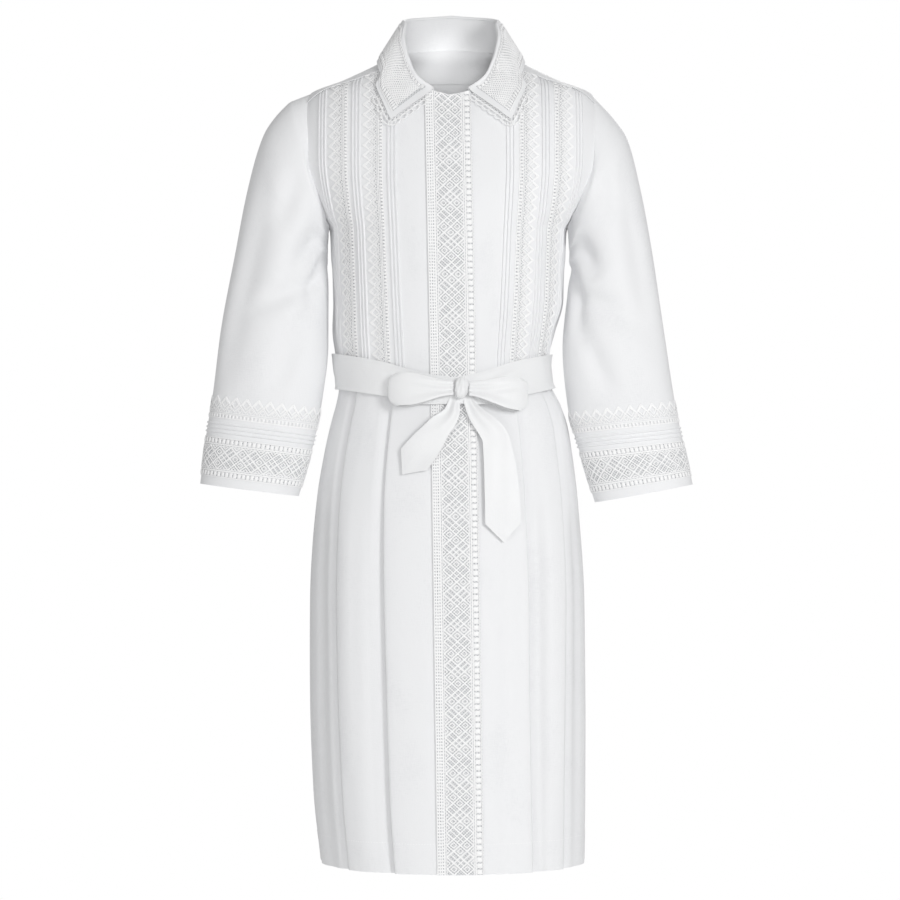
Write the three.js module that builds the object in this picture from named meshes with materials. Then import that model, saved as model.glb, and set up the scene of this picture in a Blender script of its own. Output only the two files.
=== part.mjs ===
// A white cotton kittel, filled out as it is when worn, with lace bands, pin tucks and a tied sash.
// Millimetres. +X is the wearer's left, -Y the front, +Z up.
// The origin is the middle of the line over which the yoke hangs, under the base of the neck.
import * as THREE from "three";

// Cloth and seams
const CLOTH = 1.4;
const LACE = 1.2;
const RIBBON = 1.2;
const SEAM = 0.3;
const TUCK_HEIGHT = 1.3;

// The lace's repeat sets the rows of the bodice, which are counted up from the waist.
const LACE_REPEAT = 14.8;
const LACE_WIDTH = 30;
const WAIST_Z = -458;
const BODICE_ROWS = [0, 2, 5, 10, 15, 16, 18, 20, 23, 25];
const BACK_ROWS = [0, 2, 5, 10, 15, 16, 18, 20, 22, 24];
const UNDERARM_ROW = 15;
const rowZ = (row) => WAIST_Z + row * LACE_REPEAT;

// Garment heights
const SHOULDER_Z = -41;
const UNDERARM_Z = rowZ(UNDERARM_ROW);
const YOKE_BACK_Z = rowZ(24);
const HEM_Z = -1150;
const FACING_DEPTH = 45;
const FACING_GAP = 1.3;

// Front bands, as distances round the body from the centre front
const PLACKET_WIDTH = 66;
const PLACKET_LACE_WIDTH = 63;
const UNDER_PLACKET = 3;
const TUCK_PITCH = 5.2;
const TUCKS_IN_GROUP = 3;
const INNER_TUCKS_AT = 78;
const INNER_LACE_AT = 97;
const MIDDLE_TUCKS_AT = 130;
const OUTER_LACE_AT = 149;
const OUTER_TUCKS_AT = 183;

const ROUNDNESS = 2.2;
const DEGREE = Math.PI / 180;

// Rows of numbers with the names of their columns.
function table(names, rows) {
  return rows.map((row) => Object.fromEntries(names.split(" ").map((name, i) => [name, row[i]])));
}

// A smooth curve through one column of a table, with no overshoot between its rows.
function track(rows, key, column) {
  const sorted = [...rows].sort((a, b) => a[key] - b[key]);
  const x = sorted.map((row) => row[key]);
  const y = sorted.map((row) => row[column]);
  const last = x.length - 1;
  const rise = x.slice(1).map((value, i) => (y[i + 1] - y[i]) / (value - x[i]));
  const slope = y.map((_, i) => {
    if (i === 0 || i === last) return rise[Math.min(i, last - 1)];
    const [before, after] = [rise[i - 1], rise[i]];
    return before * after <= 0 ? 0 : (2 * before * after) / (before + after);
  });
  return (at) => {
    if (at <= x[0]) return y[0];
    if (at >= x[last]) return y[last];
    let i = 0;
    while (x[i + 1] < at) i += 1;
    const width = x[i + 1] - x[i];
    const t = (at - x[i]) / width;
    const back = 1 - t;
    return (
      y[i] * back * back * (1 + 2 * t) +
      y[i + 1] * t * t * (3 - 2 * t) +
      width * t * back * (slope[i] * back - slope[i + 1] * t)
    );
  };
}

function mix(a, b, t) {
  return a + (b - a) * t;
}

function smooth(from, to, at) {
  return THREE.MathUtils.smoothstep(at, from, to);
}

function evenly(from, to, parts) {
  return Array.from({ length: parts + 1 }, (_, i) => mix(from, to, i / parts));
}

function vector(x, y, z) {
  return new THREE.Vector3(x, y, z);
}

// The body of the garment, from the neck to the hem: a row for each height
const BODY = table("z centreX halfWidth frontDepth backDepth", [
  [36, 0, 67, 60, 53],
  [20, 0, 72, 56, 58],
  [4, 0, 101, 58, 66],
  [-22, 0, 156, 64, 78],
  [SHOULDER_Z, 0, 203, 74, 88],
  [-58, 0, 214, 84, 96],
  [-90, 0, 224, 96, 104],
  [-139, 0, 229, 106, 110],
  [-188, -1, 206, 114, 112],
  [-225, -3, 182, 117, 110],
  [-240, -4, 172, 118, 109],
  [-280, -4, 170, 117, 107],
  [-340, -4, 168, 113, 103],
  [-390, -11, 161, 107, 99],
  [-426, -13, 154, 103, 98],
  [WAIST_Z, -10, 153, 102, 98],
  [-491, -4, 163, 104, 102],
  [-520, -3, 172, 109, 110],
  [-560, -4, 180, 115, 120],
  [-630, -5, 190, 123, 130],
  [-775, -4, 199, 134, 142],
  [-920, -3, 200, 142, 150],
  [-1050, -1, 198, 147, 154],
  [HEM_Z, 3, 192, 150, 156],
]);
const body = {
  centreX: track(BODY, "z", "centreX"),
  halfWidth: track(BODY, "z", "halfWidth"),
  front: track(BODY, "z", "frontDepth"),
  back: track(BODY, "z", "backDepth"),
};

// A point of the body at an angle from the centre front, towards the wearer's left, in degrees.
function bodyPoint(angle, z) {
  const s = Math.sin(angle * DEGREE);
  const c = Math.cos(angle * DEGREE);
  const across = Math.sign(s) * Math.abs(s) ** (2 / ROUNDNESS);
  const along = Math.sign(c) * Math.abs(c) ** (2 / ROUNDNESS);
  const depth = c > 0 ? body.front(z) : body.back(z);
  return vector(body.centreX(z) + body.halfWidth(z) * across, -depth * along, z);
}

function bodyNormal(angle, z) {
  const around = bodyPoint(angle + 0.5, z).sub(bodyPoint(angle - 0.5, z));
  const up = bodyPoint(angle, z + 1).sub(bodyPoint(angle, z - 1));
  return around.cross(up).normalize();
}

// The largest soft folds of the bodice: troughs from one point to another
const BODICE_FOLDS = table("fromAngle fromZ toAngle toZ width depth", [
  [84, -225, 74, -330, 12, 5],
  [-84, -225, -73, -330, 12, 6],
  [88, -300, 78, -420, 13, 5],
  [-88, -300, -78, -420, 13, 5],
  [120, -200, 140, -420, 22, 6],
  [-120, -200, -142, -420, 22, 6],
]);
const MM_PER_DEGREE = 2.3;

function foldDepth(angle, z) {
  const near = angle > 180 ? angle - 360 : angle;
  let sum = 0;
  for (const fold of BODICE_FOLDS) {
    const span = new THREE.Vector2((fold.toAngle - fold.fromAngle) * MM_PER_DEGREE, fold.toZ - fold.fromZ);
    const here = new THREE.Vector2((near - fold.fromAngle) * MM_PER_DEGREE, z - fold.fromZ);
    const share = THREE.MathUtils.clamp(here.dot(span) / span.lengthSq(), 0, 1);
    const off = here.clone().addScaledVector(span, -share).length() / fold.width;
    sum += fold.depth * Math.sin(Math.PI * mix(0.12, 0.88, share)) * Math.exp(-off * off);
  }
  return sum * smooth(WAIST_Z, WAIST_Z + 45, z);
}

// The cloth of the body, moved out along its own normal.
function skin(angle, z, out) {
  return bodyPoint(angle, z).addScaledVector(bodyNormal(angle, z), out - foldDepth(angle, z));
}

// Distances round the body at one height, from the centre front towards either side.
const arcTables = new Map();
function arcTable(z) {
  if (!arcTables.has(z)) {
    const angles = evenly(0, 180, 120);
    const arcs = [0];
    for (let i = 1; i < angles.length; i += 1) {
      arcs.push(arcs[i - 1] + bodyPoint(angles[i], z).distanceTo(bodyPoint(angles[i - 1], z)));
    }
    arcTables.set(z, { angles, arcs });
  }
  return arcTables.get(z);
}

function lookUp(from, to, at) {
  let i = 0;
  while (i < from.length - 2 && from[i + 1] < at) i += 1;
  return mix(to[i], to[i + 1], (at - from[i]) / (from[i + 1] - from[i]));
}

function angleAt(arc, z) {
  const { angles, arcs } = arcTable(z);
  return Math.sign(arc) * lookUp(arcs, angles, Math.abs(arc));
}

function arcAt(angle, z) {
  const { angles, arcs } = arcTable(z);
  return Math.sign(angle) * lookUp(angles, arcs, Math.abs(angle));
}

// How far the bands lean towards the centre front lower down
const LEAN = table("z arc", [
  [-170, 0],
  [-340, -7],
  [WAIST_Z, -13],
]);
const lean = track(LEAN, "z", "arc");
// Bands keep their distance from the garment's middle, while the body's own centre wanders off it.
const bandShift = (side, z) => lean(z) - side * body.centreX(z);

// The placket wanders a little across the centre front
const PLACKET = table("z x", [
  [-53, -4],
  [WAIST_Z, 4],
  [HEM_Z, 14],
]);
const placketX = track(PLACKET, "z", "x");
const placketCentre = (z) => placketX(z) - body.centreX(z);

// The neck seam: its height at each angle
const NECK = table("angle z", [
  [0, -53],
  [8.5, -43],
  [19, -24],
  [31, -6],
  [47, 8],
  [63, 16],
  [90, 20],
  [130, 27],
  [180, 33],
]);
const neckTrack = track(NECK, "angle", "z");
const neckHeight = (angle) => neckTrack(Math.abs(angle));

// The armhole: turn 0 at the shoulder, 90 at the front, 180 under the arm, 270 at the back
const ARMHOLE_MIDDLE = (SHOULDER_Z + UNDERARM_Z) / 2;
const ARMHOLE_HALF = (SHOULDER_Z - UNDERARM_Z) / 2;
const ARMHOLE_REACH = 27;

function armhole(turn) {
  return {
    angle: 90 - ARMHOLE_REACH * Math.sin(turn * DEGREE),
    z: ARMHOLE_MIDDLE + ARMHOLE_HALF * Math.cos(turn * DEGREE),
  };
}

function turnAtHeight(z) {
  return Math.acos(THREE.MathUtils.clamp((z - ARMHOLE_MIDDLE) / ARMHOLE_HALF, -1, 1)) / DEGREE;
}

const YOKE_FRONT_Z = -58.4;
const YOKE_FRONT_TURN = turnAtHeight(YOKE_FRONT_Z);
const YOKE_BACK_TURN = -turnAtHeight(YOKE_BACK_Z);
const YOKE_NECK_ANGLE = 40;

// Builds geometry from points and triangles, turned so that its faces point out.
function solid(points, triangles) {
  let volume = 0;
  for (const [a, b, c] of triangles) {
    volume += points[a].dot(points[b].clone().cross(points[c]));
  }
  const faces = volume < 0 ? triangles.map(([a, b, c]) => [a, c, b]) : triangles;
  const geometry = new THREE.BufferGeometry();
  geometry.setAttribute("position", new THREE.Float32BufferAttribute(points.flatMap((p) => p.toArray()), 3));
  geometry.setIndex(faces.flat());
  geometry.computeVertexNormals();
  return geometry;
}

// A wall between two layers of points, given as flat triangles of the first layer.
function wall(outside, inside, triangles) {
  const count = outside.length;
  const faces = [];
  const edges = new Map();
  for (const [a, b, c] of triangles) {
    faces.push([a, b, c], [a + count, c + count, b + count]);
    for (const [p, q] of [[a, b], [b, c], [c, a]]) {
      const back = `${q}:${p}`;
      if (edges.has(back)) edges.delete(back);
      else edges.set(`${p}:${q}`, [p, q]);
    }
  }
  for (const [p, q] of edges.values()) {
    faces.push([p, p + count, q + count], [p, q + count, q]);
  }
  return solid([...outside, ...inside], faces);
}

// A wall on a grid of columns and rows. place gives its two faces at each crossing.
function gridWall(columns, rows, place, closed = false) {
  const outside = [];
  const inside = [];
  for (let i = 0; i < columns; i += 1) {
    for (let j = 0; j < rows; j += 1) {
      const [outer, inner] = place(i, j);
      outside.push(outer);
      inside.push(inner);
    }
  }
  const triangles = [];
  for (let i = 0; i < (closed ? columns : columns - 1); i += 1) {
    const next = (i + 1) % columns;
    for (let j = 0; j < rows - 1; j += 1) {
      const [a, b, c, d] = [i * rows + j, next * rows + j, next * rows + j + 1, i * rows + j + 1];
      triangles.push([a, b, c], [a, c, d]);
    }
  }
  return wall(outside, inside, triangles);
}

// A wall from one face of points, thickened along the normals of that face.
function thickGrid(columns, rows, point, thickness) {
  const grid = Array.from({ length: columns }, (_, i) => Array.from({ length: rows }, (_, j) => point(i, j)));
  return gridWall(columns, rows, (i, j) => {
    const across = grid[Math.min(i + 1, columns - 1)][j].clone().sub(grid[Math.max(i - 1, 0)][j]);
    const along = grid[i][Math.min(j + 1, rows - 1)].clone().sub(grid[i][Math.max(j - 1, 0)]);
    const normal = across.cross(along).normalize();
    return [grid[i][j], grid[i][j].clone().addScaledVector(normal, thickness)];
  });
}

// One repeat of the lace band: a straight edge at 0 across, a point at 1, and a diamond gap
const VALLEY = 0.62;
const GAP = { near: 0.53, middle: 0.7, far: 0.87, start: 0.2, end: 0.8 };

// A band of lace. place gives its two faces at a share across the band and a count of repeats along it.
function laceBand(repeats, place, tail = null) {
  const outside = [];
  const inside = [];
  const point = (across, along) => {
    const [outer, inner] = place(across, along);
    outside.push(outer);
    inside.push(inner);
    return outside.length - 1;
  };
  const triangles = [];
  let low = [point(0, 0), point(VALLEY, 0)];
  for (let k = 0; k < repeats; k += 1) {
    const high = [point(0, k + 1), point(VALLEY, k + 1)];
    const tip = point(1, k + 0.5);
    const left = point(GAP.middle, k + GAP.start);
    const near = point(GAP.near, k + 0.5);
    const right = point(GAP.middle, k + GAP.end);
    const far = point(GAP.far, k + 0.5);
    triangles.push([low[0], high[0], near], [low[0], near, left], [low[0], left, low[1]]);
    triangles.push([low[1], left, tip], [left, far, tip], [tip, far, right]);
    triangles.push([tip, right, high[1]], [high[1], right, high[0]], [high[0], right, near]);
    low = high;
  }
  if (tail) {
    const high = [point(0, tail[0]), point(VALLEY, tail[1])];
    triangles.push([low[0], high[0], high[1]], [low[0], high[1], low[1]]);
  }
  return wall(outside, inside, triangles);
}

const cottonWhite = { color: 0xf4f4f6, roughness: 0.62, metalness: 0 };
const laceWhite = { color: 0xf8f8f9, roughness: 0.75, metalness: 0 };
const sashWhite = { color: 0xf6f6f7, roughness: 0.45, metalness: 0 };

const kittel = new THREE.Group();

function add(name, geometry, finish) {
  const mesh = new THREE.Mesh(geometry, new THREE.MeshStandardMaterial(finish));
  mesh.name = name;
  kittel.add(mesh);
}

// The front panel's outer edge: the side seam, and above it the armhole.
function frontEdgeArc(z) {
  if (z <= UNDERARM_Z) return arcAt(90, z);
  return arcAt(armhole(turnAtHeight(z)).angle, z);
}

// The top of the front panel above each distance from the centre: the neckline, then the yoke seam
const NECKLINE_PARTS = 8;
const YOKE_SEAM_PARTS = 5;
const FRONT_CORNER = armhole(YOKE_FRONT_TURN).angle;
const FRONT_TOP = [
  ...evenly(0, YOKE_NECK_ANGLE, NECKLINE_PARTS).map((angle) => ({ angle, z: neckHeight(angle) })),
  ...evenly(0, 1, YOKE_SEAM_PARTS)
    .slice(1)
    .map((share) => ({
      angle: mix(YOKE_NECK_ANGLE, FRONT_CORNER, share),
      z: mix(neckHeight(YOKE_NECK_ANGLE), YOKE_FRONT_Z, share),
    })),
].map(({ angle, z }) => ({ arc: arcAt(angle, z), z }));
const NECK_CORNER_ARC = FRONT_TOP[NECKLINE_PARTS].arc;
const TUCKS_END = OUTER_TUCKS_AT + TUCKS_IN_GROUP * TUCK_PITCH;

function frontTop(arc) {
  const arcs = FRONT_TOP.map((point) => point.arc);
  const heights = FRONT_TOP.map((point) => point.z);
  return lookUp(arcs, heights, Math.abs(arc));
}

// The rows of a bodice column: fixed heights, then shares of what is left up to its top.
const TOP_SHARES = [0.5, 1];
const BODICE_ROW_COUNT = BODICE_ROWS.length + TOP_SHARES.length;

function bodiceZ(j, top) {
  if (j < BODICE_ROWS.length) return rowZ(BODICE_ROWS[j]) + (j === 0 ? SEAM / 2 : 0);
  return mix(rowZ(BODICE_ROWS.at(-1)), top, TOP_SHARES[j - BODICE_ROWS.length]);
}

// One group of pin tucks, as columns: a flat line and a ridge in turn.
function tuckColumns(start) {
  return evenly(0, TUCKS_IN_GROUP * 2, TUCKS_IN_GROUP * 2).map((i) => ({
    arc: start + (i * TUCK_PITCH) / 2,
    raised: i % 2 ? TUCK_HEIGHT : 0,
  }));
}

// The columns near the centre front, measured from the middle of the placket.
function lapColumns(side) {
  const outer = PLACKET_WIDTH / 2;
  const under = outer - UNDER_PLACKET;
  return side < 0 ? [under] : [-under + 1, -under / 2, 0, outer];
}

function frontPanel(side) {
  const columns = [
    ...lapColumns(side).map((lap) => ({ lap })),
    { arc: 44 },
    { arc: 58 },
    { arc: NECK_CORNER_ARC },
    ...tuckColumns(INNER_TUCKS_AT),
    ...tuckColumns(MIDDLE_TUCKS_AT),
    ...tuckColumns(OUTER_TUCKS_AT),
    { edge: 0.5 },
    { edge: 1 },
  ];
  const arcOf = (column, z) => {
    if (column.lap !== undefined) return column.lap + side * placketCentre(z);
    if (column.edge === undefined) return column.arc + bandShift(side, z);
    return mix(TUCKS_END + bandShift(side, z), frontEdgeArc(z) - SEAM / 2, column.edge);
  };
  return gridWall(columns.length, BODICE_ROW_COUNT, (i, j) => {
    const column = columns[i];
    const z = bodiceZ(j, frontTop(arcOf(column, YOKE_FRONT_Z)) - SEAM);
    const angle = side * angleAt(arcOf(column, z), z);
    return [skin(angle, z, column.raised ?? 0), skin(angle, z, -CLOTH)];
  });
}

function backPanel() {
  const columns = evenly(-1, 1, 14);
  return gridWall(columns.length, BACK_ROWS.length, (i, j) => {
    const z = rowZ(BACK_ROWS[j]) + (j === 0 ? SEAM / 2 : 0) - (j === BACK_ROWS.length - 1 ? SEAM : 0);
    const edge = z <= UNDERARM_Z ? 90 : armhole(-turnAtHeight(z)).angle;
    const angle = 180 - columns[i] * (180 - edge - 0.15);
    return [skin(angle, z, 0), skin(angle, z, -CLOTH)];
  });
}

// The yoke's edges: the neck seam, and outside it the front seam, armhole and back seam
const YOKE_TURNS = [YOKE_FRONT_TURN, 18, 0, -18, -36, -52, YOKE_BACK_TURN];
const YOKE = table("neck outer z", [
  ...YOKE_TURNS.map((turn, i) => [YOKE_NECK_ANGLE + 14.5 * i, armhole(turn).angle, armhole(turn).z]),
  [139, 130, YOKE_BACK_Z],
  [153, 147, YOKE_BACK_Z],
  [166, 163, YOKE_BACK_Z],
  [180, 180, YOKE_BACK_Z],
]);

function yokePanel() {
  const left = YOKE.map((row) => ({ ...row, side: 1 }));
  const right = left.slice(0, -1).map((row) => ({ ...row, side: -1 }));
  const stations = [...left, ...right.reverse()];
  const shares = evenly(0.006, 0.997, YOKE_SEAM_PARTS);
  return gridWall(stations.length, shares.length, (i, j) => {
    const { neck, outer, z: outerZ, side } = stations[i];
    const atFront = i === 0 || i === stations.length - 1;
    const z = mix(neckHeight(neck), outerZ, shares[j]) + (atFront ? SEAM : 0);
    const angle = side * mix(neck, outer, shares[j]);
    return [skin(angle, z, 0), skin(angle, z, -CLOTH)];
  });
}

// The strip inside the back of the neck.
function neckFacing() {
  const columns = evenly(-1, 1, 14);
  return gridWall(columns.length, 4, (i, j) => {
    const angle = 180 + columns[i] * 68;
    const top = neckHeight(Math.min(angle, 360 - angle)) - 2;
    const z = top - (j / 3) * FACING_DEPTH * Math.sqrt(1.06 - columns[i] ** 2);
    return [skin(angle, z, -CLOTH - FACING_GAP), skin(angle, z, -2 * CLOTH - FACING_GAP)];
  });
}

// The skirt: its rows, and the folds of its pleats on each side, from the waist to the hem
const SKIRT_ROWS = [WAIST_Z - SEAM / 2, -500, -570, -760, HEM_Z];
const PLEATS = table("side waist hem panel", [
  [-1, 27, 22.5, "front"],
  [-1, 53.5, 48.5, "front"],
  [-1, 84, 78, "front"],
  [1, 33, 33, "front"],
  [1, 59, 52.6, "front"],
  [1, 84, 78, "front"],
  [-1, 108, 106, "back"],
  [-1, 134, 134, "back"],
  [-1, 160, 162, "back"],
  [1, 108, 106, "back"],
  [1, 134, 134, "back"],
  [1, 160, 162, "back"],
]);
const SIDE_SEAM_ANGLE = { waist: 95.5, hem: 92 };
const PLEAT_UNDERLAY = 18;
const PLEAT_RISE = 18;
const PLEAT_LAYER = { waist: 2.6, hem: 4 };

const skirtShare = (z) => (WAIST_Z - z) / (WAIST_Z - HEM_Z);

// One pleat, as distances from the centre front and depths of the cloth's middle.
function pleatStations(pleat, z) {
  const share = skirtShare(z);
  const fold = arcAt(mix(pleat.waist, pleat.hem, share), z);
  const layer = mix(PLEAT_LAYER.waist, PLEAT_LAYER.hem, share);
  return [
    { arc: fold - PLEAT_UNDERLAY - 3, depth: 0 },
    { arc: fold, depth: 0 },
    { arc: fold, depth: layer },
    { arc: fold - PLEAT_UNDERLAY, depth: layer },
    { arc: fold - PLEAT_UNDERLAY, depth: 2 * layer },
    { arc: fold + 6, depth: 1.9 * layer },
    { arc: fold + PLEAT_RISE, depth: 0.5 * layer },
  ].map((station) => ({ ...station, side: pleat.side }));
}

// A wall of cloth along a line seen from above, at one height, with squared corners.
function planOffset(line, z) {
  return line.map((p, i) => {
    const before = line[Math.max(i - 1, 0)];
    const after = line[Math.min(i + 1, line.length - 1)];
    const into = (i > 0 ? p.clone().sub(before) : after.clone().sub(p)).normalize();
    const out = (i < line.length - 1 ? after.clone().sub(p) : into.clone()).normalize();
    const n1 = new THREE.Vector2(into.y, -into.x);
    const n2 = new THREE.Vector2(out.y, -out.x);
    const corner = n1.clone().add(n2).multiplyScalar(CLOTH / 2 / (1 + n1.dot(n2)));
    return [vector(p.x + corner.x, p.y + corner.y, z), vector(p.x - corner.x, p.y - corner.y, z)];
  });
}

function skirtPanel(stationsAt) {
  const rows = SKIRT_ROWS.map((z) => {
    const line = stationsAt(z).map(({ arc, depth, side }) => {
      const point = skin(side * angleAt(arc, z), z, -CLOTH / 2 - depth);
      return new THREE.Vector2(point.x, point.y);
    });
    return planOffset(line, z);
  });
  return gridWall(rows[0].length, rows.length, (i, j) => rows[j][i]);
}

function pleatsOf(side, panel, z) {
  return PLEATS.filter((p) => p.side === side && p.panel === panel).flatMap((p) => pleatStations(p, z));
}

function sideSeamArc(z) {
  return arcAt(mix(SIDE_SEAM_ANGLE.waist, SIDE_SEAM_ANGLE.hem, skirtShare(z)), z);
}

function skirtFront(side) {
  return skirtPanel((z) => [
    ...lapColumns(side).map((lap) => ({ arc: lap + side * placketCentre(z), depth: 0, side })),
    ...pleatsOf(side, "front", z),
    { arc: sideSeamArc(z) - SEAM / 2, depth: 0, side },
  ]);
}

function skirtBack() {
  return skirtPanel((z) => {
    const half = (side) => [{ arc: sideSeamArc(z) + SEAM, depth: 0, side }, ...pleatsOf(side, "back", z)];
    return [...half(1), { arc: arcAt(179.9, z), depth: 0, side: 1 }, ...half(-1).reverse()];
  });
}

// The placket and its lace run over the fronts from the neck to the hem.
const SKIRT_HEIGHTS = SKIRT_ROWS.toReversed().map((z) => () => z);
const BODICE_HEIGHTS = Array.from({ length: BODICE_ROW_COUNT }, (_, j) => (top) => bodiceZ(j, top));
const WHOLE_HEIGHTS = [...SKIRT_HEIGHTS.slice(0, -1), ...BODICE_HEIGHTS];
const PLACKET_LIFT = 0.5;
const PLACKET_LACE_LIFT = PLACKET_LIFT + CLOTH + SEAM;
const PLACKET_LACE = 1;
const PLACKET_COLUMNS = table("across raised", [
  [-1, 0],
  [-0.45, 0],
  [0, 0],
  [0.45, 0],
  [1, 0],
]);
const PLACKET_LACE_COLUMNS = table("across raised", [
  [-1, 0],
  [-0.8, 0.4],
  [-0.6, 0],
  [0, 0.3],
  [0.6, 0],
  [0.8, 0.4],
  [1, 0],
]);

// A band down the front. heights gives its rows, each as a function of the height of its top.
function placketBand(width, columns, heights, lift, thickness, shorter) {
  return gridWall(columns.length, heights.length, (i, j) => {
    const across = (columns[i].across * width) / 2;
    const z = heights[j](frontTop(across + PLACKET[0].x) - SEAM - shorter);
    const angle = angleAt(across + placketCentre(z), z);
    const rise = vector(0, 0, j === 0 ? shorter : 0);
    return [lift + thickness + columns[i].raised, lift].map((out) => skin(angle, z, out).add(rise));
  });
}

// The lace bands lie on the flat stretch of the front between two groups of tucks.
function laceLift(z) {
  return 0.7 + 0.7 * smooth(-260, -215, z);
}

function frontLace(side, startArc, panelFrom, panelTo) {
  const place = (across, along) => {
    const acrossShare = (startArc + across * LACE_WIDTH - panelFrom) / (panelTo - panelFrom);
    const z = rowZ(along) + (along === 0 ? SEAM : 0);
    const above = z >= rowZ(BODICE_ROWS.at(-1));
    let low = 0;
    while (!above && rowZ(BODICE_ROWS[low + 1]) <= z) low += 1;
    const [bottom, top] = above ? [z, z] : [rowZ(BODICE_ROWS[low]), rowZ(BODICE_ROWS[low + 1])];
    const share = above ? 0 : (z - bottom) / (top - bottom);
    return [laceLift(z) + LACE, laceLift(z)].map((out) => {
      const corner = (arc, height) =>
        skin(side * angleAt(arc + bandShift(side, height), height), height, out);
      const near = corner(panelFrom, bottom);
      const far = corner(panelTo, top);
      const middle = acrossShare > share ? corner(panelTo, bottom) : corner(panelFrom, top);
      const [less, more] = [Math.min(acrossShare, share), Math.max(acrossShare, share)];
      return near.multiplyScalar(1 - more).addScaledVector(middle, more - less).addScaledVector(far, less);
    });
  };
  const count = (arc) => (frontTop(arc) - SEAM - 1 - WAIST_Z) / LACE_REPEAT;
  const repeats = Math.floor(count(startArc + LACE_WIDTH));
  return laceBand(repeats, place, [count(startArc), count(startArc + VALLEY * LACE_WIDTH)]);
}

// The sleeves as seen from the front: the outer and inner edge at each rise above the hem
const SLEEVE_RIGHT = table("rise outerX outerZ innerX innerZ halfDepth centreY", [
  [566, -239, -55, -177.5, -249, 60, -2],
  [508, -271, -101, -178, -261, 60, -5],
  [428, -294, -180, -178, -284, 58, -8],
  [332, -312, -274, -177, -325, 55, -12],
  [222, -332, -383, -177, -405, 51, -18],
  [124, -344, -481, -188, -500, 47, -22],
  [74, -352, -531, -199, -551, 45, -25],
  [0, -361, -605, -219, -623, 44, -28],
]);
const SLEEVE_LEFT = table("rise outerX outerZ innerX innerZ halfDepth centreY", [
  [566, 237, -78, 171, -262, 60, -2],
  [508, 255, -107, 171, -270, 60, -5],
  [428, 274, -180, 171, -293, 58, -8],
  [332, 290, -267, 168, -333, 55, -12],
  [222, 307, -383, 161, -412, 51, -18],
  [124, 323, -489, 170, -506, 47, -22],
  [74, 333, -539, 184, -555, 45, -25],
  [0, 348, -606, 207, -632, 44, -28],
]);
const SLEEVE_COLUMNS = ["outerX", "outerZ", "innerX", "innerZ", "halfDepth", "centreY"];
const SLEEVES = [
  { side: -1, name: "right", rows: SLEEVE_RIGHT },
  { side: 1, name: "left", rows: SLEEVE_LEFT },
].map((sleeve) => ({
  ...sleeve,
  tracks: Object.fromEntries(SLEEVE_COLUMNS.map((column) => [column, track(sleeve.rows, "rise", column)])),
}));

const SLEEVE_REPEATS = 24;
const CUFF = { hem: 13, bandTop: 69, tucksFrom: 75, tuck: 6, laceFrom: 96, laceTo: 128 };

function sleeveRing(sleeve, rise, turn) {
  const at = Object.fromEntries(SLEEVE_COLUMNS.map((column) => [column, sleeve.tracks[column](rise)]));
  const outwards = (1 + Math.cos(turn * DEGREE)) / 2;
  return vector(
    mix(at.innerX, at.outerX, outwards),
    at.centreY - at.halfDepth * Math.sin(turn * DEGREE),
    mix(at.innerZ, at.outerZ, outwards),
  );
}

// The turns at which a cuff is cut into equal lengths, from the outer edge.
function equalTurns(parts) {
  const fine = evenly(0, 360, 720);
  const spots = fine.map((turn) => sleeveRing(SLEEVES[0], CUFF.laceFrom, turn));
  const lengths = [0];
  for (let i = 1; i < fine.length; i += 1) lengths.push(lengths[i - 1] + spots[i].distanceTo(spots[i - 1]));
  return evenly(0, lengths.at(-1), parts).map((length) => lookUp(lengths, fine, length));
}
const SLEEVE_TURNS = equalTurns(SLEEVE_REPEATS);

// The corners of the armhole in the cut cloth, as turns round it
const ARMHOLE_TURNS = [
  ...BODICE_ROWS.map(rowZ).filter((z) => z > UNDERARM_Z).map((z) => turnAtHeight(z)),
  ...BACK_ROWS.map(rowZ).filter((z) => z > UNDERARM_Z).map((z) => -turnAtHeight(z)),
  ...YOKE_TURNS,
  180,
]
  .map((turn) => (turn + 360) % 360)
  .sort((a, b) => a - b);

// The sleeve's own edge, just inside the armhole.
function sleeveHead(side, turn) {
  const loop = [...ARMHOLE_TURNS, 360];
  let i = 0;
  while (i < loop.length - 2 && loop[i + 1] < turn) i += 1;
  const corner = (at) => {
    const { angle, z } = armhole(at);
    const lift = 0.3 + 1.5 * ((1 - Math.cos(at * DEGREE)) / 2) ** 3;
    return skin(side * mix(90, angle, 0.99), mix(ARMHOLE_MIDDLE, z, 0.992), lift);
  };
  const share = (turn - loop[i]) / Math.max(loop[i + 1] - loop[i], 1e-6);
  return corner(loop[i]).lerp(corner(loop[i + 1]), share);
}

const SLEEVE_RINGS = [
  { rise: 0, raised: 0 },
  ...evenly(0, TUCKS_IN_GROUP * 2, TUCKS_IN_GROUP * 2).map((i) => ({
    rise: CUFF.tucksFrom + (i * CUFF.tuck) / 2,
    raised: i % 2 ? TUCK_HEIGHT : 0,
  })),
  ...[132, 332, 440, 566].map((rise) => ({ rise, raised: 0 })),
];

// How much of its last facet each half of a sleeve leaves free, so that the halves stay apart
const SLEEVE_SEAM_SHARE = 0.01;

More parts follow.
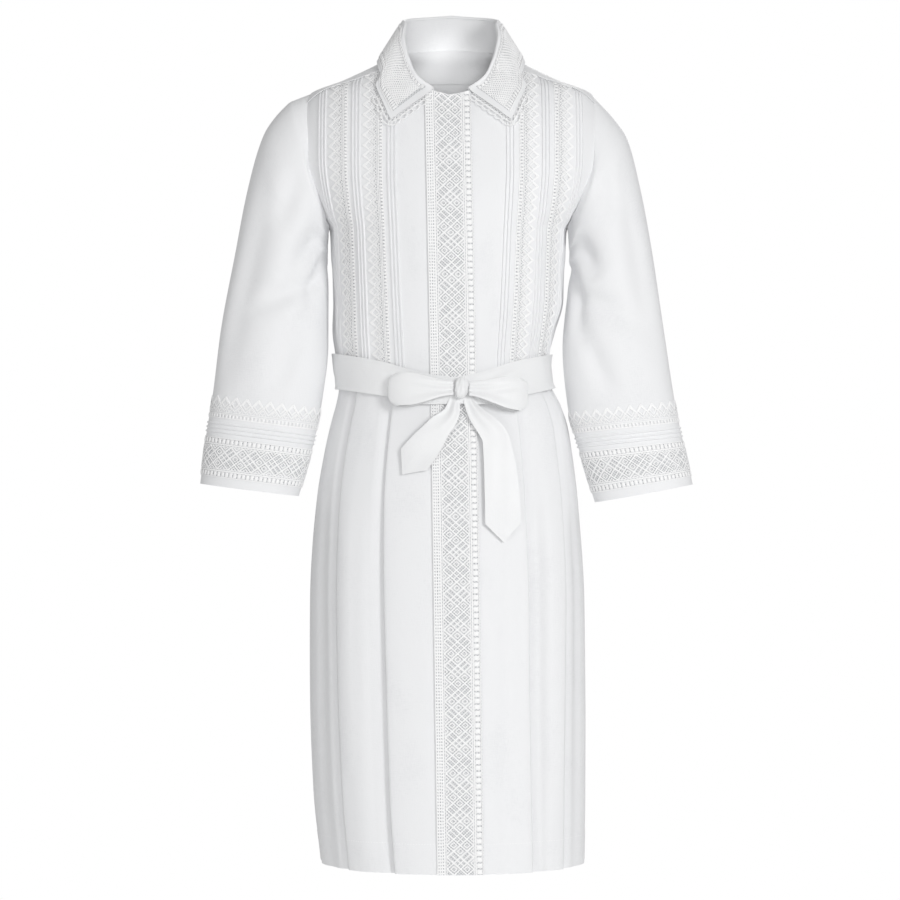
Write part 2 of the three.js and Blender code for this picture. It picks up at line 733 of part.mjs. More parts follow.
// One half of a sleeve, from the column first to the one opposite.
function sleevePanel(sleeve, first) {
  const rings = SLEEVE_RINGS.length + 1;
  const half = SLEEVE_REPEATS / 2;
  const point = (i, j) => {
    const turn = SLEEVE_TURNS[(i + SLEEVE_REPEATS) % SLEEVE_REPEATS];
    return j < SLEEVE_RINGS.length
      ? sleeveRing(sleeve, SLEEVE_RINGS[j].rise, turn)
      : sleeveHead(sleeve.side, turn);
  };
  const faces = (i, j) => {
    const around = point(i + 1, j).sub(point(i - 1, j));
    const along = point(i, Math.min(j + 1, rings - 1)).sub(point(i, Math.max(j - 1, 0)));
    const normal = around.cross(along).normalize().multiplyScalar(-sleeve.side);
    const raised = SLEEVE_RINGS[j]?.raised ?? 0;
    return [raised, -CLOTH].map((out) => point(i, j).addScaledVector(normal, out));
  };
  return gridWall(half + 1, rings, (i, j) => {
    const inwards = i === 0 ? 1 : i === half ? -1 : 0;
    const next = faces(first + i + inwards, j);
    return faces(first + i, j).map((spot, k) => spot.lerp(next[k], SLEEVE_SEAM_SHARE));
  });
}

// A point on the facets of the cuff, moved out. count goes round in repeats of the lace.
function cuffPoint(sleeve, rise, count, out) {
  const first = Math.floor(count);
  const corner = (k) => {
    const turn = SLEEVE_TURNS[k % SLEEVE_REPEATS];
    const point = sleeveRing(sleeve, rise, turn);
    const around = sleeveRing(sleeve, rise, turn + 1).sub(sleeveRing(sleeve, rise, turn - 1));
    const along = sleeveRing(sleeve, rise + 1, turn).sub(point);
    return point.addScaledVector(around.cross(along).normalize(), -sleeve.side * out);
  };
  return corner(first).lerp(corner(first + 1), count - first);
}

function cuffBand(sleeve) {
  const rises = [CUFF.hem, CUFF.bandTop];
  const place = (i, j) => [1 + LACE, 1].map((out) => cuffPoint(sleeve, rises[j], i, out));
  return gridWall(SLEEVE_REPEATS, rises.length, place, true);
}

function cuffLace(sleeve, first, count) {
  return laceBand(count, (across, along) => {
    const inset = along === 0 ? 0.02 : along === count ? -0.02 : 0;
    const rise = mix(CUFF.laceFrom, CUFF.laceTo, across);
    return [0.8 + LACE, 0.8].map((out) => cuffPoint(sleeve, rise, first + along + inset, out));
  });
}

// The collar, from its front end to the back of the neck: fold and edge
const COLLAR = table("share foldAngle height edgeAngle edgeZ", [
  [0, 5.5, 5, 20, -90],
  [0.2, 22, 22, 26, -55],
  [0.4, 43, 34, 34, -28],
  [0.6, 65, 42, 56, -7],
  [0.75, 90, 45, 90, 4],
  [0.88, 135, 46, 135, 7],
  [1, 180, 46, 180, 16],
]);
const COLLAR_COLUMNS = ["foldAngle", "height", "edgeAngle", "edgeZ"];
const collar = Object.fromEntries(COLLAR_COLUMNS.map((column) => [column, track(COLLAR, "share", column)]));
const STAND_LEAN = 0.1;
const LEAF_LIFT = 5.6;
const LEAF_FOLD = table("up out", [
  [1.2, -0.7],
  [1.3, 2.6],
]);
// Where, on the way to the back, the leaf stops following the stand and slopes straight to its edge
const LEAF_SLOPE = { from: 0.12, to: 0.5 };
const TRIM_LIFT = 4.1;
const TRIM_WIDTH = 12;

// Both halves of the collar, from the wearer's left front round to the right.
function collarStations(parts) {
  return evenly(0, 2, parts * 2).map((u) => ({ share: u <= 1 ? u : 2 - u, side: u <= 1 ? 1 : -1 }));
}

function standPoint(angle, up, out) {
  const base = bodyPoint(angle, neckHeight(angle));
  const away = vector(base.x, base.y * 1.4, 0).normalize();
  return base.addScaledVector(away, out - STAND_LEAN * up).add(vector(0, 0, up));
}

function collarStand() {
  const stations = collarStations(11);
  return gridWall(stations.length, 2, (i, j) => {
    const { share, side } = stations[i];
    const angle = side * collar.foldAngle(share);
    const up = mix(SEAM + 1.2, collar.height(share), j);
    return [standPoint(angle, up, 0), standPoint(angle, up, -CLOTH)];
  });
}

// A point of the collar's leaf at a share of the way down from its fold.
function leafPoint({ share, side }, along) {
  const angle = collar.foldAngle(share);
  const height = collar.height(share);
  const edge = { angle: collar.edgeAngle(share), z: collar.edgeZ(share) };
  const onSkin = (t) => skin(side * mix(angle, edge.angle, t), mix(neckHeight(angle), edge.z, t), LEAF_LIFT);
  const reach = onSkin(0).distanceTo(onSkin(1));
  const down = along * (height + reach);
  const bent = down < height
    ? standPoint(side * angle, height - down + 1, 4.6)
    : onSkin((down - height) / reach);
  const { up, out } = LEAF_FOLD[1];
  const straight = standPoint(side * angle, height + up, out).lerp(onSkin(1), along);
  return bent.lerp(straight, smooth(LEAF_SLOPE.from, LEAF_SLOPE.to, share));
}
const LEAF_SHARES = [0.12, 0.3, 0.52, 0.76, 1];

function collarLeaf() {
  const stations = collarStations(12);
  const point = (i, j) => {
    const { share, side } = stations[i];
    if (j >= LEAF_FOLD.length) return leafPoint(stations[i], LEAF_SHARES[j - LEAF_FOLD.length]);
    const { up, out } = LEAF_FOLD[j];
    return standPoint(side * collar.foldAngle(share), collar.height(share) + up, out);
  };
  return thickGrid(stations.length, LEAF_FOLD.length + LEAF_SHARES.length, point, -CLOTH);
}

// The lace along the collar's front edge and round its point, as angles and heights on the body
const TRIM_START = { angle: 7.2, z: -52 };
const TRIM_FRONT_REPEATS = 6;
const TRIM_OUTER_REPEATS = 3;

// Equal steps along a line on the body, with the way out from the leaf at each.
function trimSteps(line, step, side) {
  const spot = (at) => skin(side * at.angle, at.z, TRIM_LIFT);
  const lengths = [0];
  for (let i = 1; i < line.length; i += 1) {
    lengths.push(lengths[i - 1] + spot(line[i]).distanceTo(spot(line[i - 1])));
  }
  const pitch = step ?? lengths.at(-1) / TRIM_FRONT_REPEATS;
  const at = (length) => ({
    angle: lookUp(lengths, line.map((point) => point.angle), length),
    z: lookUp(lengths, line.map((point) => point.z), length),
  });
  return (count) => {
    const here = at(count * pitch);
    const way = spot(at(count * pitch + 2)).sub(spot(at(count * pitch - 2)));
    const normal = bodyNormal(side * here.angle, here.z);
    return { spot: spot(here), normal, out: way.cross(normal).normalize().multiplyScalar(side) };
  };
}

function collarTrim(side) {
  const tip = { angle: collar.edgeAngle(0), z: collar.edgeZ(0) };
  const frontLine = evenly(0, 1, 12).map((t) => ({
    angle: mix(TRIM_START.angle, tip.angle, t),
    z: mix(TRIM_START.z, tip.z, t),
  }));
  const outerLine = evenly(0, 0.4, 16).map((share) => ({
    angle: collar.edgeAngle(share),
    z: collar.edgeZ(share),
  }));
  const front = trimSteps(frontLine, null, side);
  const outer = trimSteps(outerLine, LACE_REPEAT, side);
  const stationAt = (count) => {
    const past = count - TRIM_FRONT_REPEATS;
    const station = past < 0 ? front(count) : outer(past);
    if (Math.abs(past) > 1) return station;
    const [before, after] = [front(TRIM_FRONT_REPEATS - 1).out, outer(1).out];
    return { ...station, out: before.lerp(after, (past + 1) / 2).normalize() };
  };
  return laceBand(TRIM_FRONT_REPEATS + TRIM_OUTER_REPEATS, (across, count) => {
    const { spot, normal, out } = stationAt(count);
    const place = spot.addScaledVector(out, mix(-1.5, TRIM_WIDTH, across));
    return [1, 0].map((face) => place.clone().addScaledVector(normal, face - across * 0.3));
  });
}

// The sash: its edges round the waist, as angles away from the knot at the front
const SASH = table("angle top bottom", [
  [0, -454, -492],
  [12, -448, -493],
  [35, -431, -481],
  [62, -421, -473],
  [90, -417, -469],
  [180, -417, -469],
]);
const sashTop = track(SASH, "angle", "top");
const sashBottom = track(SASH, "angle", "bottom");
const SASH_COLUMNS = 44;
const SASH_CREASES = [0, -0.5, 0];
const SASH_LIFT = { round: 3.8, overPlacket: 1.2, from: 17, to: 26 };
const FRONT_MM_PER_DEGREE = 4.5;
const KNOT = { angle: 4, x: 13.5, z: -470, halfWidth: 10, halfDepth: 9, halfHeight: 16.5, turn: 8 };

function sashLift(angle) {
  const { round, overPlacket, from, to } = SASH_LIFT;
  return round + overPlacket * (1 - smooth(from, to, Math.abs(angle)));
}

function sashBand() {
  return gridWall(
    SASH_COLUMNS,
    SASH_CREASES.length,
    (i, j) => {
      const angle = (i / SASH_COLUMNS) * 360 - 180;
      const off = Math.abs(angle - KNOT.angle);
      const z = mix(sashTop(off), sashBottom(off), j / (SASH_CREASES.length - 1));
      const lift = sashLift(angle);
      return [skin(angle, z, lift + CLOTH + SASH_CREASES[j]), skin(angle, z, lift)];
    },
    true,
  );
}

// A point in front of the sash, which the bow lies on.
function sashFace(x, z, out) {
  let angle = 0;
  for (let i = 0; i < 12; i += 1) angle += (x - bodyPoint(angle, z).x) / FRONT_MM_PER_DEGREE;
  return skin(angle, z, sashLift(angle) + CLOTH + out);
}

function knot() {
  const geometry = new THREE.SphereGeometry(1, 12, 7);
  const centre = sashFace(KNOT.x, KNOT.z, SEAM + KNOT.halfDepth);
  geometry.scale(KNOT.halfWidth, KNOT.halfDepth, KNOT.halfHeight);
  geometry.rotateY(KNOT.turn * DEGREE);
  geometry.translate(centre.x, centre.y, centre.z);
  return geometry;
}

// One loop of the bow, seen from above: a share of its reach and a distance in front of the sash
const LOOP = table("share off", [
  [0, 9.5],
  [0.3, 13.5],
  [0.7, 14],
  [0.9, 12.5],
  [1, 8.6],
  [0.92, 4],
  [0.7, 2.2],
  [0.35, 2.1],
  [0.06, 3.4],
]);
const LOOPS = {
  right: { from: KNOT.x - 10.6, to: -85, centreFrom: -470, centreTo: -472, narrow: 11, wide: 25 },
  left: { from: KNOT.x + 10.6, to: 103, centreFrom: -471, centreTo: -481, narrow: 11, wide: 24.5 },
};

function bowLoop({ from, to, centreFrom, centreTo, narrow, wide }) {
  const point = (i, j) => {
    const { share, off } = LOOP[i];
    const half = mix(narrow, wide, smooth(0, 0.75, share));
    const across = j / 2 - 1;
    const z = mix(centreFrom, centreTo, share) + half * across;
    return sashFace(mix(from, to, share), z, off + 1.2 * across * across);
  };
  return thickGrid(LOOP.length, 5, point, Math.sign(to - from) * RIBBON);
}

// The tails of the bow: from the knot to the pointed end
const TAIL_RIGHT = table("share x z half off", [
  [0, 5.5, -481, 6, 0.7],
  [0.15, 1, -505, 11, 4],
  [0.4, -18, -529, 17, 8],
  [0.7, -38, -555, 22, 8],
  [1, -51, -571, 23.5, 6],
]);
const TAIL_LEFT = table("share x z half off", [
  [0, 21.5, -481, 6, 0.7],
  [0.15, 33, -505, 11, 4],
  [0.4, 62, -545, 19, 8],
  [0.7, 70, -610, 24, 7],
  [1, 72, -660, 25, 6],
]);
const TAIL_ROWS = 7;
const TAIL_POINT = 27;
const TAIL_WAVE = 1.3;
const TAIL_BELOW_SASH = { nearer: 6, from: -560, to: -500 };

function bowTail(rows) {
  const [x, z, half, off] = ["x", "z", "half", "off"].map((column) => track(rows, "share", column));
  const point = (i, j) => {
    const across = i / 2 - 1;
    const share = j / (TAIL_ROWS - 1);
    const [behind, ahead] = [Math.max(share - 0.03, 0), Math.min(share + 0.03, 1)];
    const way = new THREE.Vector2(x(ahead) - x(behind), z(ahead) - z(behind)).normalize();
    const reach = share ** 3 * TAIL_POINT * (1 - Math.abs(across));
    const aside = across * half(share);
    const px = x(share) - way.y * aside + way.x * reach;
    const pz = z(share) + way.x * aside + way.y * reach;
    const { nearer, from, to } = TAIL_BELOW_SASH;
    const wave = TAIL_WAVE * share * Math.sin(2.4 * across + 5 * share);
    return sashFace(px, pz, off(share) - nearer * (1 - smooth(from, to, pz)) + wave);
  };
  return thickGrid(5, TAIL_ROWS, point, -RIBBON);
}

add("front_right", frontPanel(-1), cottonWhite);
add("front_left", frontPanel(1), cottonWhite);
add("back", backPanel(), cottonWhite);
add("yoke", yokePanel(), cottonWhite);
add("neck_facing", neckFacing(), cottonWhite);
add("collar_stand", collarStand(), cottonWhite);
add("collar_leaf", collarLeaf(), cottonWhite);
for (const [part, heights] of [["bodice", BODICE_HEIGHTS], ["skirt", SKIRT_HEIGHTS]]) {
  const band = placketBand(PLACKET_WIDTH, PLACKET_COLUMNS, heights, PLACKET_LIFT, CLOTH, 0);
  add(`placket_${part}`, band, cottonWhite);
}
const placketLace = [PLACKET_LACE_COLUMNS, WHOLE_HEIGHTS, PLACKET_LACE_LIFT, PLACKET_LACE, 2];
add("placket_lace", placketBand(PLACKET_LACE_WIDTH, ...placketLace), laceWhite);
for (const sleeve of SLEEVES) {
  const { side, name } = sleeve;
  const half = SLEEVE_REPEATS / 2;
  const group = TUCKS_IN_GROUP * TUCK_PITCH;
  const inner = frontLace(side, INNER_LACE_AT, INNER_TUCKS_AT + group, MIDDLE_TUCKS_AT);
  const outer = frontLace(side, OUTER_LACE_AT, MIDDLE_TUCKS_AT + group, OUTER_TUCKS_AT);
  add(`front_lace_inner_${name}`, inner, laceWhite);
  add(`front_lace_outer_${name}`, outer, laceWhite);
  add(`collar_trim_${name}`, collarTrim(side), laceWhite);
  add(`sleeve_front_${name}`, sleevePanel(sleeve, 0), cottonWhite);
  add(`sleeve_back_${name}`, sleevePanel(sleeve, half), cottonWhite);
  add(`cuff_band_${name}`, cuffBand(sleeve), laceWhite);
  add(`cuff_lace_front_${name}`, cuffLace(sleeve, 0, half), laceWhite);
  add(`cuff_lace_back_${name}`, cuffLace(sleeve, half, half), laceWhite);
  add(`skirt_front_${name}`, skirtFront(side), cottonWhite);
  add(`bow_loop_${name}`, bowLoop(LOOPS[name]), sashWhite);
  add(`bow_tail_${name}`, bowTail(name === "right" ? TAIL_RIGHT : TAIL_LEFT), sashWhite);
}
add("skirt_back", skirtBack(), cottonWhite);
add("sash", sashBand(), sashWhite);
add("bow_knot", knot(), sashWhite);

export default kittel;
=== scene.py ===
# The looks of a white cotton kittel, filled out as it is when worn.
# Tables are in millimetres and degrees in the garment's own frame, and every finished mesh is in metres.
# +X is the wearer's left, -Y the front and +Z up. The origin lies under the base of the neck.
import math
from functools import partial

import bpy
import numpy as np
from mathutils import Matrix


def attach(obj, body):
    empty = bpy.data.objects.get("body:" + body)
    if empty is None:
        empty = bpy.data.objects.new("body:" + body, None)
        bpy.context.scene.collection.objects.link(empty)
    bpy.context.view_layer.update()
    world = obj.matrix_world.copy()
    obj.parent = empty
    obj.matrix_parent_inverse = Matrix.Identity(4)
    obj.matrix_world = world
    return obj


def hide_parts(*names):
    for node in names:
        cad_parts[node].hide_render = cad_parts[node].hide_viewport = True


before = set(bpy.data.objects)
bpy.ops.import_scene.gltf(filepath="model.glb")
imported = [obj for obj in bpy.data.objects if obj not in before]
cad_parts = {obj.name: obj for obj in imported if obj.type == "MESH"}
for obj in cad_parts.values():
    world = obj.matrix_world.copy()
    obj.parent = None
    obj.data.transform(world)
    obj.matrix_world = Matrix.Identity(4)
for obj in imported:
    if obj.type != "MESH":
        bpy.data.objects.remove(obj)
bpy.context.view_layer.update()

MM = 0.001

# Cloth and seams
CLOTH = 1.0
RIBBON = 0.8
NET = 0.3
SEAM = 0.3
SEAM_LAP = 1.6
SEAM_DEPTH = 0.9
LACE_REPEAT = 14.8
LACE_WIDTH = 30
CORD_SIDES = 6
CORD_STEP = 9
CORD_FLATNESS = 0.7

# Heights
WAIST_Z = -458
UNDERARM_Z = WAIST_Z + 15 * LACE_REPEAT
YOKE_BACK_Z = WAIST_Z + 24 * LACE_REPEAT
SHOULDER_Z = -41
HEM_Z = -1150
HEM_DEPTH = 42
FLOOR_Z = -1450

# Front bands, as distances round the body from the centre front
PLACKET_WIDTH = 66
PLACKET_LACE_WIDTH = 63
TUCK_PITCH = 5.2
TUCKS_IN_GROUP = 3
INNER_TUCKS_AT = 78
INNER_LACE_AT = 97
MIDDLE_TUCKS_AT = 130
OUTER_LACE_AT = 149
OUTER_TUCKS_AT = 183
TUCKS_END = OUTER_TUCKS_AT + TUCKS_IN_GROUP * TUCK_PITCH
BANDS_FROM = 58

ROUNDNESS = 2.2
SIDES = {"right": -1, "left": 1}


def table(names, *rows):
    """Rows of numbers with the names of their columns."""
    return [dict(zip(names.split(), row)) for row in rows]


def column(rows, name):
    return np.array([row[name] for row in rows], float)


def track(rows, key, name):
    """A smooth curve through one column of a table, with no overshoot between its rows."""
    ordered = sorted(rows, key=lambda row: row[key])
    x, y = column(ordered, key), column(ordered, name)
    rise = np.diff(y) / np.diff(x)
    slope = np.append(rise, rise[-1])
    for i in range(1, len(x) - 1):
        before, after = rise[i - 1], rise[i]
        slope[i] = 0 if before * after <= 0 else 2 * before * after / (before + after)

    def curve(at):
        at = np.clip(at, x[0], x[-1])
        i = np.clip(np.searchsorted(x, at) - 1, 0, len(x) - 2)
        width = x[i + 1] - x[i]
        t = (at - x[i]) / width
        back = 1 - t
        ends = y[i] * back * back * (1 + 2 * t) + y[i + 1] * t * t * (3 - 2 * t)
        return ends + width * t * back * (slope[i] * back - slope[i + 1] * t)

    return curve


def curve_through(points, t):
    """A smooth curve through points, at a count of points from the first."""
    last = len(points) - 1
    k = np.clip(np.floor(t).astype(int), 0, last - 1)
    f = np.asarray(t, float) - k
    spots = [np.clip(k + step, 0, last) for step in (-1, 0, 1, 2)]
    if points.ndim == 3:
        p0, p1, p2, p3 = (points[spot, np.arange(len(k))] for spot in spots)
        f = f[:, None]
    else:
        p0, p1, p2, p3 = (points[spot] for spot in spots)
    bend = (2 * p0 - 5 * p1 + 4 * p2 - p3) * f**2 + (3 * p1 - p0 - 3 * p2 + p3) * f**3
    return 0.5 * (2 * p1 + (p2 - p0) * f + bend)


def mix(a, b, t):
    return a + (b - a) * t


def smooth(low, high, at):
    t = np.clip((at - low) / (high - low), 0, 1)
    return t * t * (3 - 2 * t)


def unit(vectors):
    return vectors / np.maximum(np.linalg.norm(vectors, axis=-1, keepdims=True), 1e-9)


def points_of(x, y, z):
    return np.stack(np.broadcast_arrays(x, y, z), axis=-1).astype(float)


def lengths_along(spots):
    """How far along a line of points each of them is."""
    return np.append(0, np.cumsum(np.linalg.norm(np.diff(spots, axis=0), axis=-1)))


def troughs(rows, a, b, mm_per_a):
    """How deep the soft folds of a table are at places a, b. Each runs from one point to another."""
    total = np.zeros(np.broadcast(a, b).shape)
    for row in rows:
        span_a, span_b = (row["to_a"] - row["from_a"]) * mm_per_a, row["to_b"] - row["from_b"]
        here_a, here_b = (a - row["from_a"]) * mm_per_a, b - row["from_b"]
        share = np.clip((here_a * span_a + here_b * span_b) / (span_a**2 + span_b**2), 0, 1)
        off = np.hypot(here_a - share * span_a, here_b - share * span_b) / row["width"]
        total = total + row["depth"] * np.sin(math.pi * mix(0.12, 0.88, share)) * np.exp(-off * off)
    return total


# The body of the garment, from the neck to the hem
BODY = table(
    "z centre_x half_width front back",
    (36, 0, 67, 60, 53),
    (20, 0, 72, 56, 58),
    (4, 0, 101, 58, 66),
    (-22, 0, 156, 64, 78),
    (SHOULDER_Z, 0, 203, 74, 88),
    (-58, 0, 214, 84, 96),
    (-90, 0, 224, 96, 104),
    (-139, 0, 229, 106, 110),
    (-188, -1, 206, 114, 112),
    (-225, -3, 182, 117, 110),
    (-240, -4, 172, 118, 109),
    (-280, -4, 170, 117, 107),
    (-340, -4, 168, 113, 103),
    (-390, -11, 161, 107, 99),
    (-426, -13, 154, 103, 98),
    (WAIST_Z, -10, 153, 102, 98),
    (-491, -4, 163, 104, 102),
    (-520, -3, 172, 109, 110),
    (-560, -4, 180, 115, 120),
    (-630, -5, 190, 123, 130),
    (-775, -4, 199, 134, 142),
    (-920, -3, 200, 142, 150),
    (-1050, -1, 198, 147, 154),
    (HEM_Z, 3, 192, 150, 156),
)
body_centre = track(BODY, "z", "centre_x")
body_half = track(BODY, "z", "half_width")
body_front = track(BODY, "z", "front")
body_back = track(BODY, "z", "back")

# Soft folds of the bodice and the skirt, in degrees round the body and heights
BODICE_FOLDS = table(
    "from_a from_b to_a to_b width depth",
    (84, -225, 74, -330, 12, 5),
    (-84, -225, -73, -330, 12, 6),
    (88, -300, 78, -420, 13, 5),
    (-88, -300, -78, -420, 13, 5),
    (120, -200, 140, -420, 22, 6),
    (-120, -200, -142, -420, 22, 6),
    (70, -175, 80, -262, 7, 2.6),
    (-69, -190, -82, -282, 7, 3),
    (-64, -330, -76, -440, 8, 2.4),
    (62, -345, 72, -445, 8, 2.2),
    (30, -380, 34, -450, 9, 1.4),
    (-34, -360, -38, -450, 9, 1.6),
    (152, -150, 160, -330, 17, 4),
    (-150, -165, -166, -350, 17, 4.5),
    (176, -320, 171, -445, 14, 3),
    (100, -250, 108, -400, 10, 3),
    (-101, -262, -110, -415, 10, 3),
)
SKIRT_FOLDS = table(
    "from_a from_b to_a to_b width depth",
    (-30, -640, -28, -1190, 15, 4.5),
    (-47, -560, -44, -1000, 13, -2.5),
    (-66, -600, -63, -1190, 17, 5),
    (-88, -560, -86, -1100, 18, -3),
    (23, -700, 21, -1190, 12, 3.6),
    (45, -600, 43, -1190, 16, 4.6),
    (60, -540, 60, -900, 12, -2),
    (68, -660, 65, -1190, 18, 4),
    (90, -560, 88, -1190, 18, 4),
    (-119, -560, -118, -1190, 19, 5),
    (-148, -620, -146, -1190, 17, 4),
    (172, -580, 174, -1190, 21, 5),
    (119, -600, 120, -1190, 19, 5),
    (147, -560, 148, -1190, 17, -3),
)
MM_PER_DEGREE = {"bodice": 2.3, "skirt": 3.3}


def body_point(angle, z):
    """A point of the body at an angle from the centre front, towards the wearer's left."""
    angle, z = np.broadcast_arrays(np.asarray(angle, float), np.asarray(z, float))
    s, c = np.sin(np.radians(angle)), np.cos(np.radians(angle))
    across = np.sign(s) * np.abs(s) ** (2 / ROUNDNESS)
    along = np.sign(c) * np.abs(c) ** (2 / ROUNDNESS)
    depth = np.where(c > 0, body_front(z), body_back(z))
    return points_of(body_centre(z) + body_half(z) * across, -depth * along, z)


def body_normal(angle, z):
    around = body_point(angle + 0.5, z) - body_point(angle - 0.5, z)
    up = body_point(angle, z + 1) - body_point(angle, z - 1)
    return unit(np.cross(around, up))


def fold_depth(angle, z):
    near = (np.asarray(angle, float) + 180) % 360 - 180
    bodice = troughs(BODICE_FOLDS, near, z, MM_PER_DEGREE["bodice"]) * smooth(WAIST_Z, WAIST_Z + 45, z)
    skirt = troughs(SKIRT_FOLDS, near, z, MM_PER_DEGREE["skirt"]) * (1 - smooth(-680, -540, z))
    return bodice + skirt


def skin(angle, z, out):
    """The cloth of the body, moved out along its own normal."""
    angle, z, out = np.broadcast_arrays(*(np.asarray(v, float) for v in (angle, z, out)))
    return body_point(angle, z) + body_normal(angle, z) * (out - fold_depth(angle, z))[..., None]


# Distances round the body from the centre front, at every few millimetres of height
ARC_ANGLES = np.linspace(0, 180, 121)
ARC_STEP = 3
ARC_HEIGHTS = np.arange(HEM_Z - 12, 45, ARC_STEP)
ARC_SPOTS = body_point(ARC_ANGLES[None, :], ARC_HEIGHTS[:, None])
ARCS = np.concatenate(
    [
        np.zeros((len(ARC_HEIGHTS), 1)),
        np.cumsum(np.linalg.norm(np.diff(ARC_SPOTS, axis=1), axis=-1), axis=1),
    ],
    axis=1,
)


def arc_reader(z):
    at = np.clip((z - ARC_HEIGHTS[0]) / ARC_STEP, 0, len(ARC_HEIGHTS) - 1.001)
    row = at.astype(int)
    share = at - row
    return lambda k: ARCS[row, k] * (1 - share) + ARCS[row + 1, k] * share


def angle_at(arc, z):
    arc, z = np.broadcast_arrays(np.asarray(arc, float), np.asarray(z, float))
    length, want = arc_reader(z), np.abs(arc)
    low = np.zeros(arc.shape, int)
    high = np.full(arc.shape, len(ARC_ANGLES) - 1)
    for _ in range(7):
        middle = (low + high) // 2
        beyond = length(middle) > want
        high = np.where(beyond, middle, high)
        low = np.where(beyond, low, middle)
    high = np.maximum(high, low + 1)
    share = (want - length(low)) / (length(high) - length(low))
    return np.sign(arc) * (ARC_ANGLES[low] + share * (ARC_ANGLES[high] - ARC_ANGLES[low]))


def arc_at(angle, z):
    angle, z = np.broadcast_arrays(np.asarray(angle, float), np.asarray(z, float))
    at = np.clip(np.abs(angle) / ARC_ANGLES[1], 0, len(ARC_ANGLES) - 1.001)
    k = at.astype(int)
    length = arc_reader(z)
    return np.sign(angle) * (length(k) * (1 - at + k) + length(k + 1) * (at - k))


# How far the bands lean towards the centre front, where the placket runs, and the neck seam
lean = track(table("z arc", (-170, 0), (-340, -7), (WAIST_Z, -13)), "z", "arc")
placket_x = track(table("z x", (-53, -4), (WAIST_Z, 4), (HEM_Z, 14)), "z", "x")
PLACKET_TOP_X = -4
NECK = table(
    "angle z",
    (0, -53),
    (8.5, -43),
    (19, -24),
    (31, -6),
    (47, 8),
    (63, 16),
    (90, 20),
    (130, 27),
    (180, 33),
)
neck_curve = track(NECK, "angle", "z")


def placket_centre(z):
    """How far the placket's middle is from the body's own centre line, which wanders."""
    return placket_x(z) - body_centre(z)


def band_shift(side, z):
    """How far the bands of a front are shifted, to stay in line with the placket."""
    return lean(z) - side * body_centre(z)


def neck_height(angle):
    return neck_curve(np.abs(angle))


# The armhole: turn 0 at the shoulder, 90 at the front, 180 under the arm, 270 at the back
ARMHOLE_MIDDLE = (SHOULDER_Z + UNDERARM_Z) / 2
ARMHOLE_HALF = (SHOULDER_Z - UNDERARM_Z) / 2
ARMHOLE_REACH = 27


def armhole(turn):
    turn = np.radians(turn)
    return 90 - ARMHOLE_REACH * np.sin(turn), ARMHOLE_MIDDLE + ARMHOLE_HALF * np.cos(turn)


def turn_at_height(z):
    return np.degrees(np.arccos(np.clip((np.asarray(z, float) - ARMHOLE_MIDDLE) / ARMHOLE_HALF, -1, 1)))


YOKE_FRONT_Z = -58.4
YOKE_NECK_ANGLE = 40
YOKE_FRONT_TURN = float(turn_at_height(YOKE_FRONT_Z))
YOKE_BACK_TURN = -float(turn_at_height(YOKE_BACK_Z))


# Materials
def new_material(name, colour, roughness, sheen):
    material = bpy.data.materials.new(name)
    material.use_nodes = True
    shader = material.node_tree.nodes["Principled BSDF"]
    shader.inputs["Base Color"].default_value = (*colour, 1)
    shader.inputs["Roughness"].default_value = roughness
    shader.inputs["Sheen Weight"].default_value = sheen
    shader.inputs["Sheen Roughness"].default_value = 0.4
    shader.inputs["Specular IOR Level"].default_value = 0.3
    return material, shader


def add_node(material, kind, values=None, links=None):
    """A node with its values set and its inputs linked."""
    node = material.node_tree.nodes.new(kind)
    for name, value in (values or {}).items():
        if hasattr(node, name):
            setattr(node, name, value)
        else:
            node.inputs[name].default_value = value
    for name, output in (links or {}).items():
        material.node_tree.links.new(output, node.inputs[name])
    return node


def stretched_noise(material, coordinates, scale, detail):
    mapping = add_node(material, "ShaderNodeMapping", {"Scale": scale}, {"Vector": coordinates})
    values = {"Scale": 1.0, "Detail": detail}
    return add_node(material, "ShaderNodeTexNoise", values, {"Vector": mapping.outputs["Vector"]})


def blend_values(material, operation, first, second):
    node = add_node(material, "ShaderNodeMath", {"operation": operation})
    for index, value in enumerate((first, second)):
        if isinstance(value, (int, float)):
            node.inputs[index].default_value = value
        else:
            material.node_tree.links.new(value, node.inputs[index])
    return node.outputs[0]


def shade_with(material, shader, value, low, high):
    """Colours a finish by a pattern. low and high each give a value and its colour."""
    ramp = add_node(material, "ShaderNodeValToRGB", links={"Fac": value})
    for element, (position, colour) in zip(ramp.color_ramp.elements, (low, high)):
        element.position = position
        element.color = (*colour, 1)
    material.node_tree.links.new(ramp.outputs["Color"], shader.inputs["Base Color"])


def raise_with(material, shader, height, values):
    bump = add_node(material, "ShaderNodeBump", values, {"Height": height})
    material.node_tree.links.new(bump.outputs["Normal"], shader.inputs["Normal"])


def woven(name, colour, shade, roughness, sheen, thread, slub):
    """Cloth of fine threads both ways, with the slubs and faint streaks of a real weave."""
    material, shader = new_material(name, colour, roughness, sheen)
    uv = add_node(material, "ShaderNodeTexCoord").outputs["UV"]
    warp = stretched_noise(material, uv, (1 / thread, 1 / (thread * slub), 1), 2).outputs["Fac"]
    weft = stretched_noise(material, uv, (1 / (thread * slub), 1 / thread, 1), 2).outputs["Fac"]
    weave = blend_values(material, "ADD", warp, weft)
    cloudy = stretched_noise(material, uv, (14, 9, 1), 3).outputs["Fac"]
    tone = blend_values(material, "ADD", blend_values(material, "MULTIPLY", weave, 0.5), cloudy)
    shade_with(material, shader, tone, (0.55, shade), (1.25 / 1.3, colour))
    raise_with(material, shader, weave, {"Strength": 0.35, "Distance": thread * 0.25})
    return material


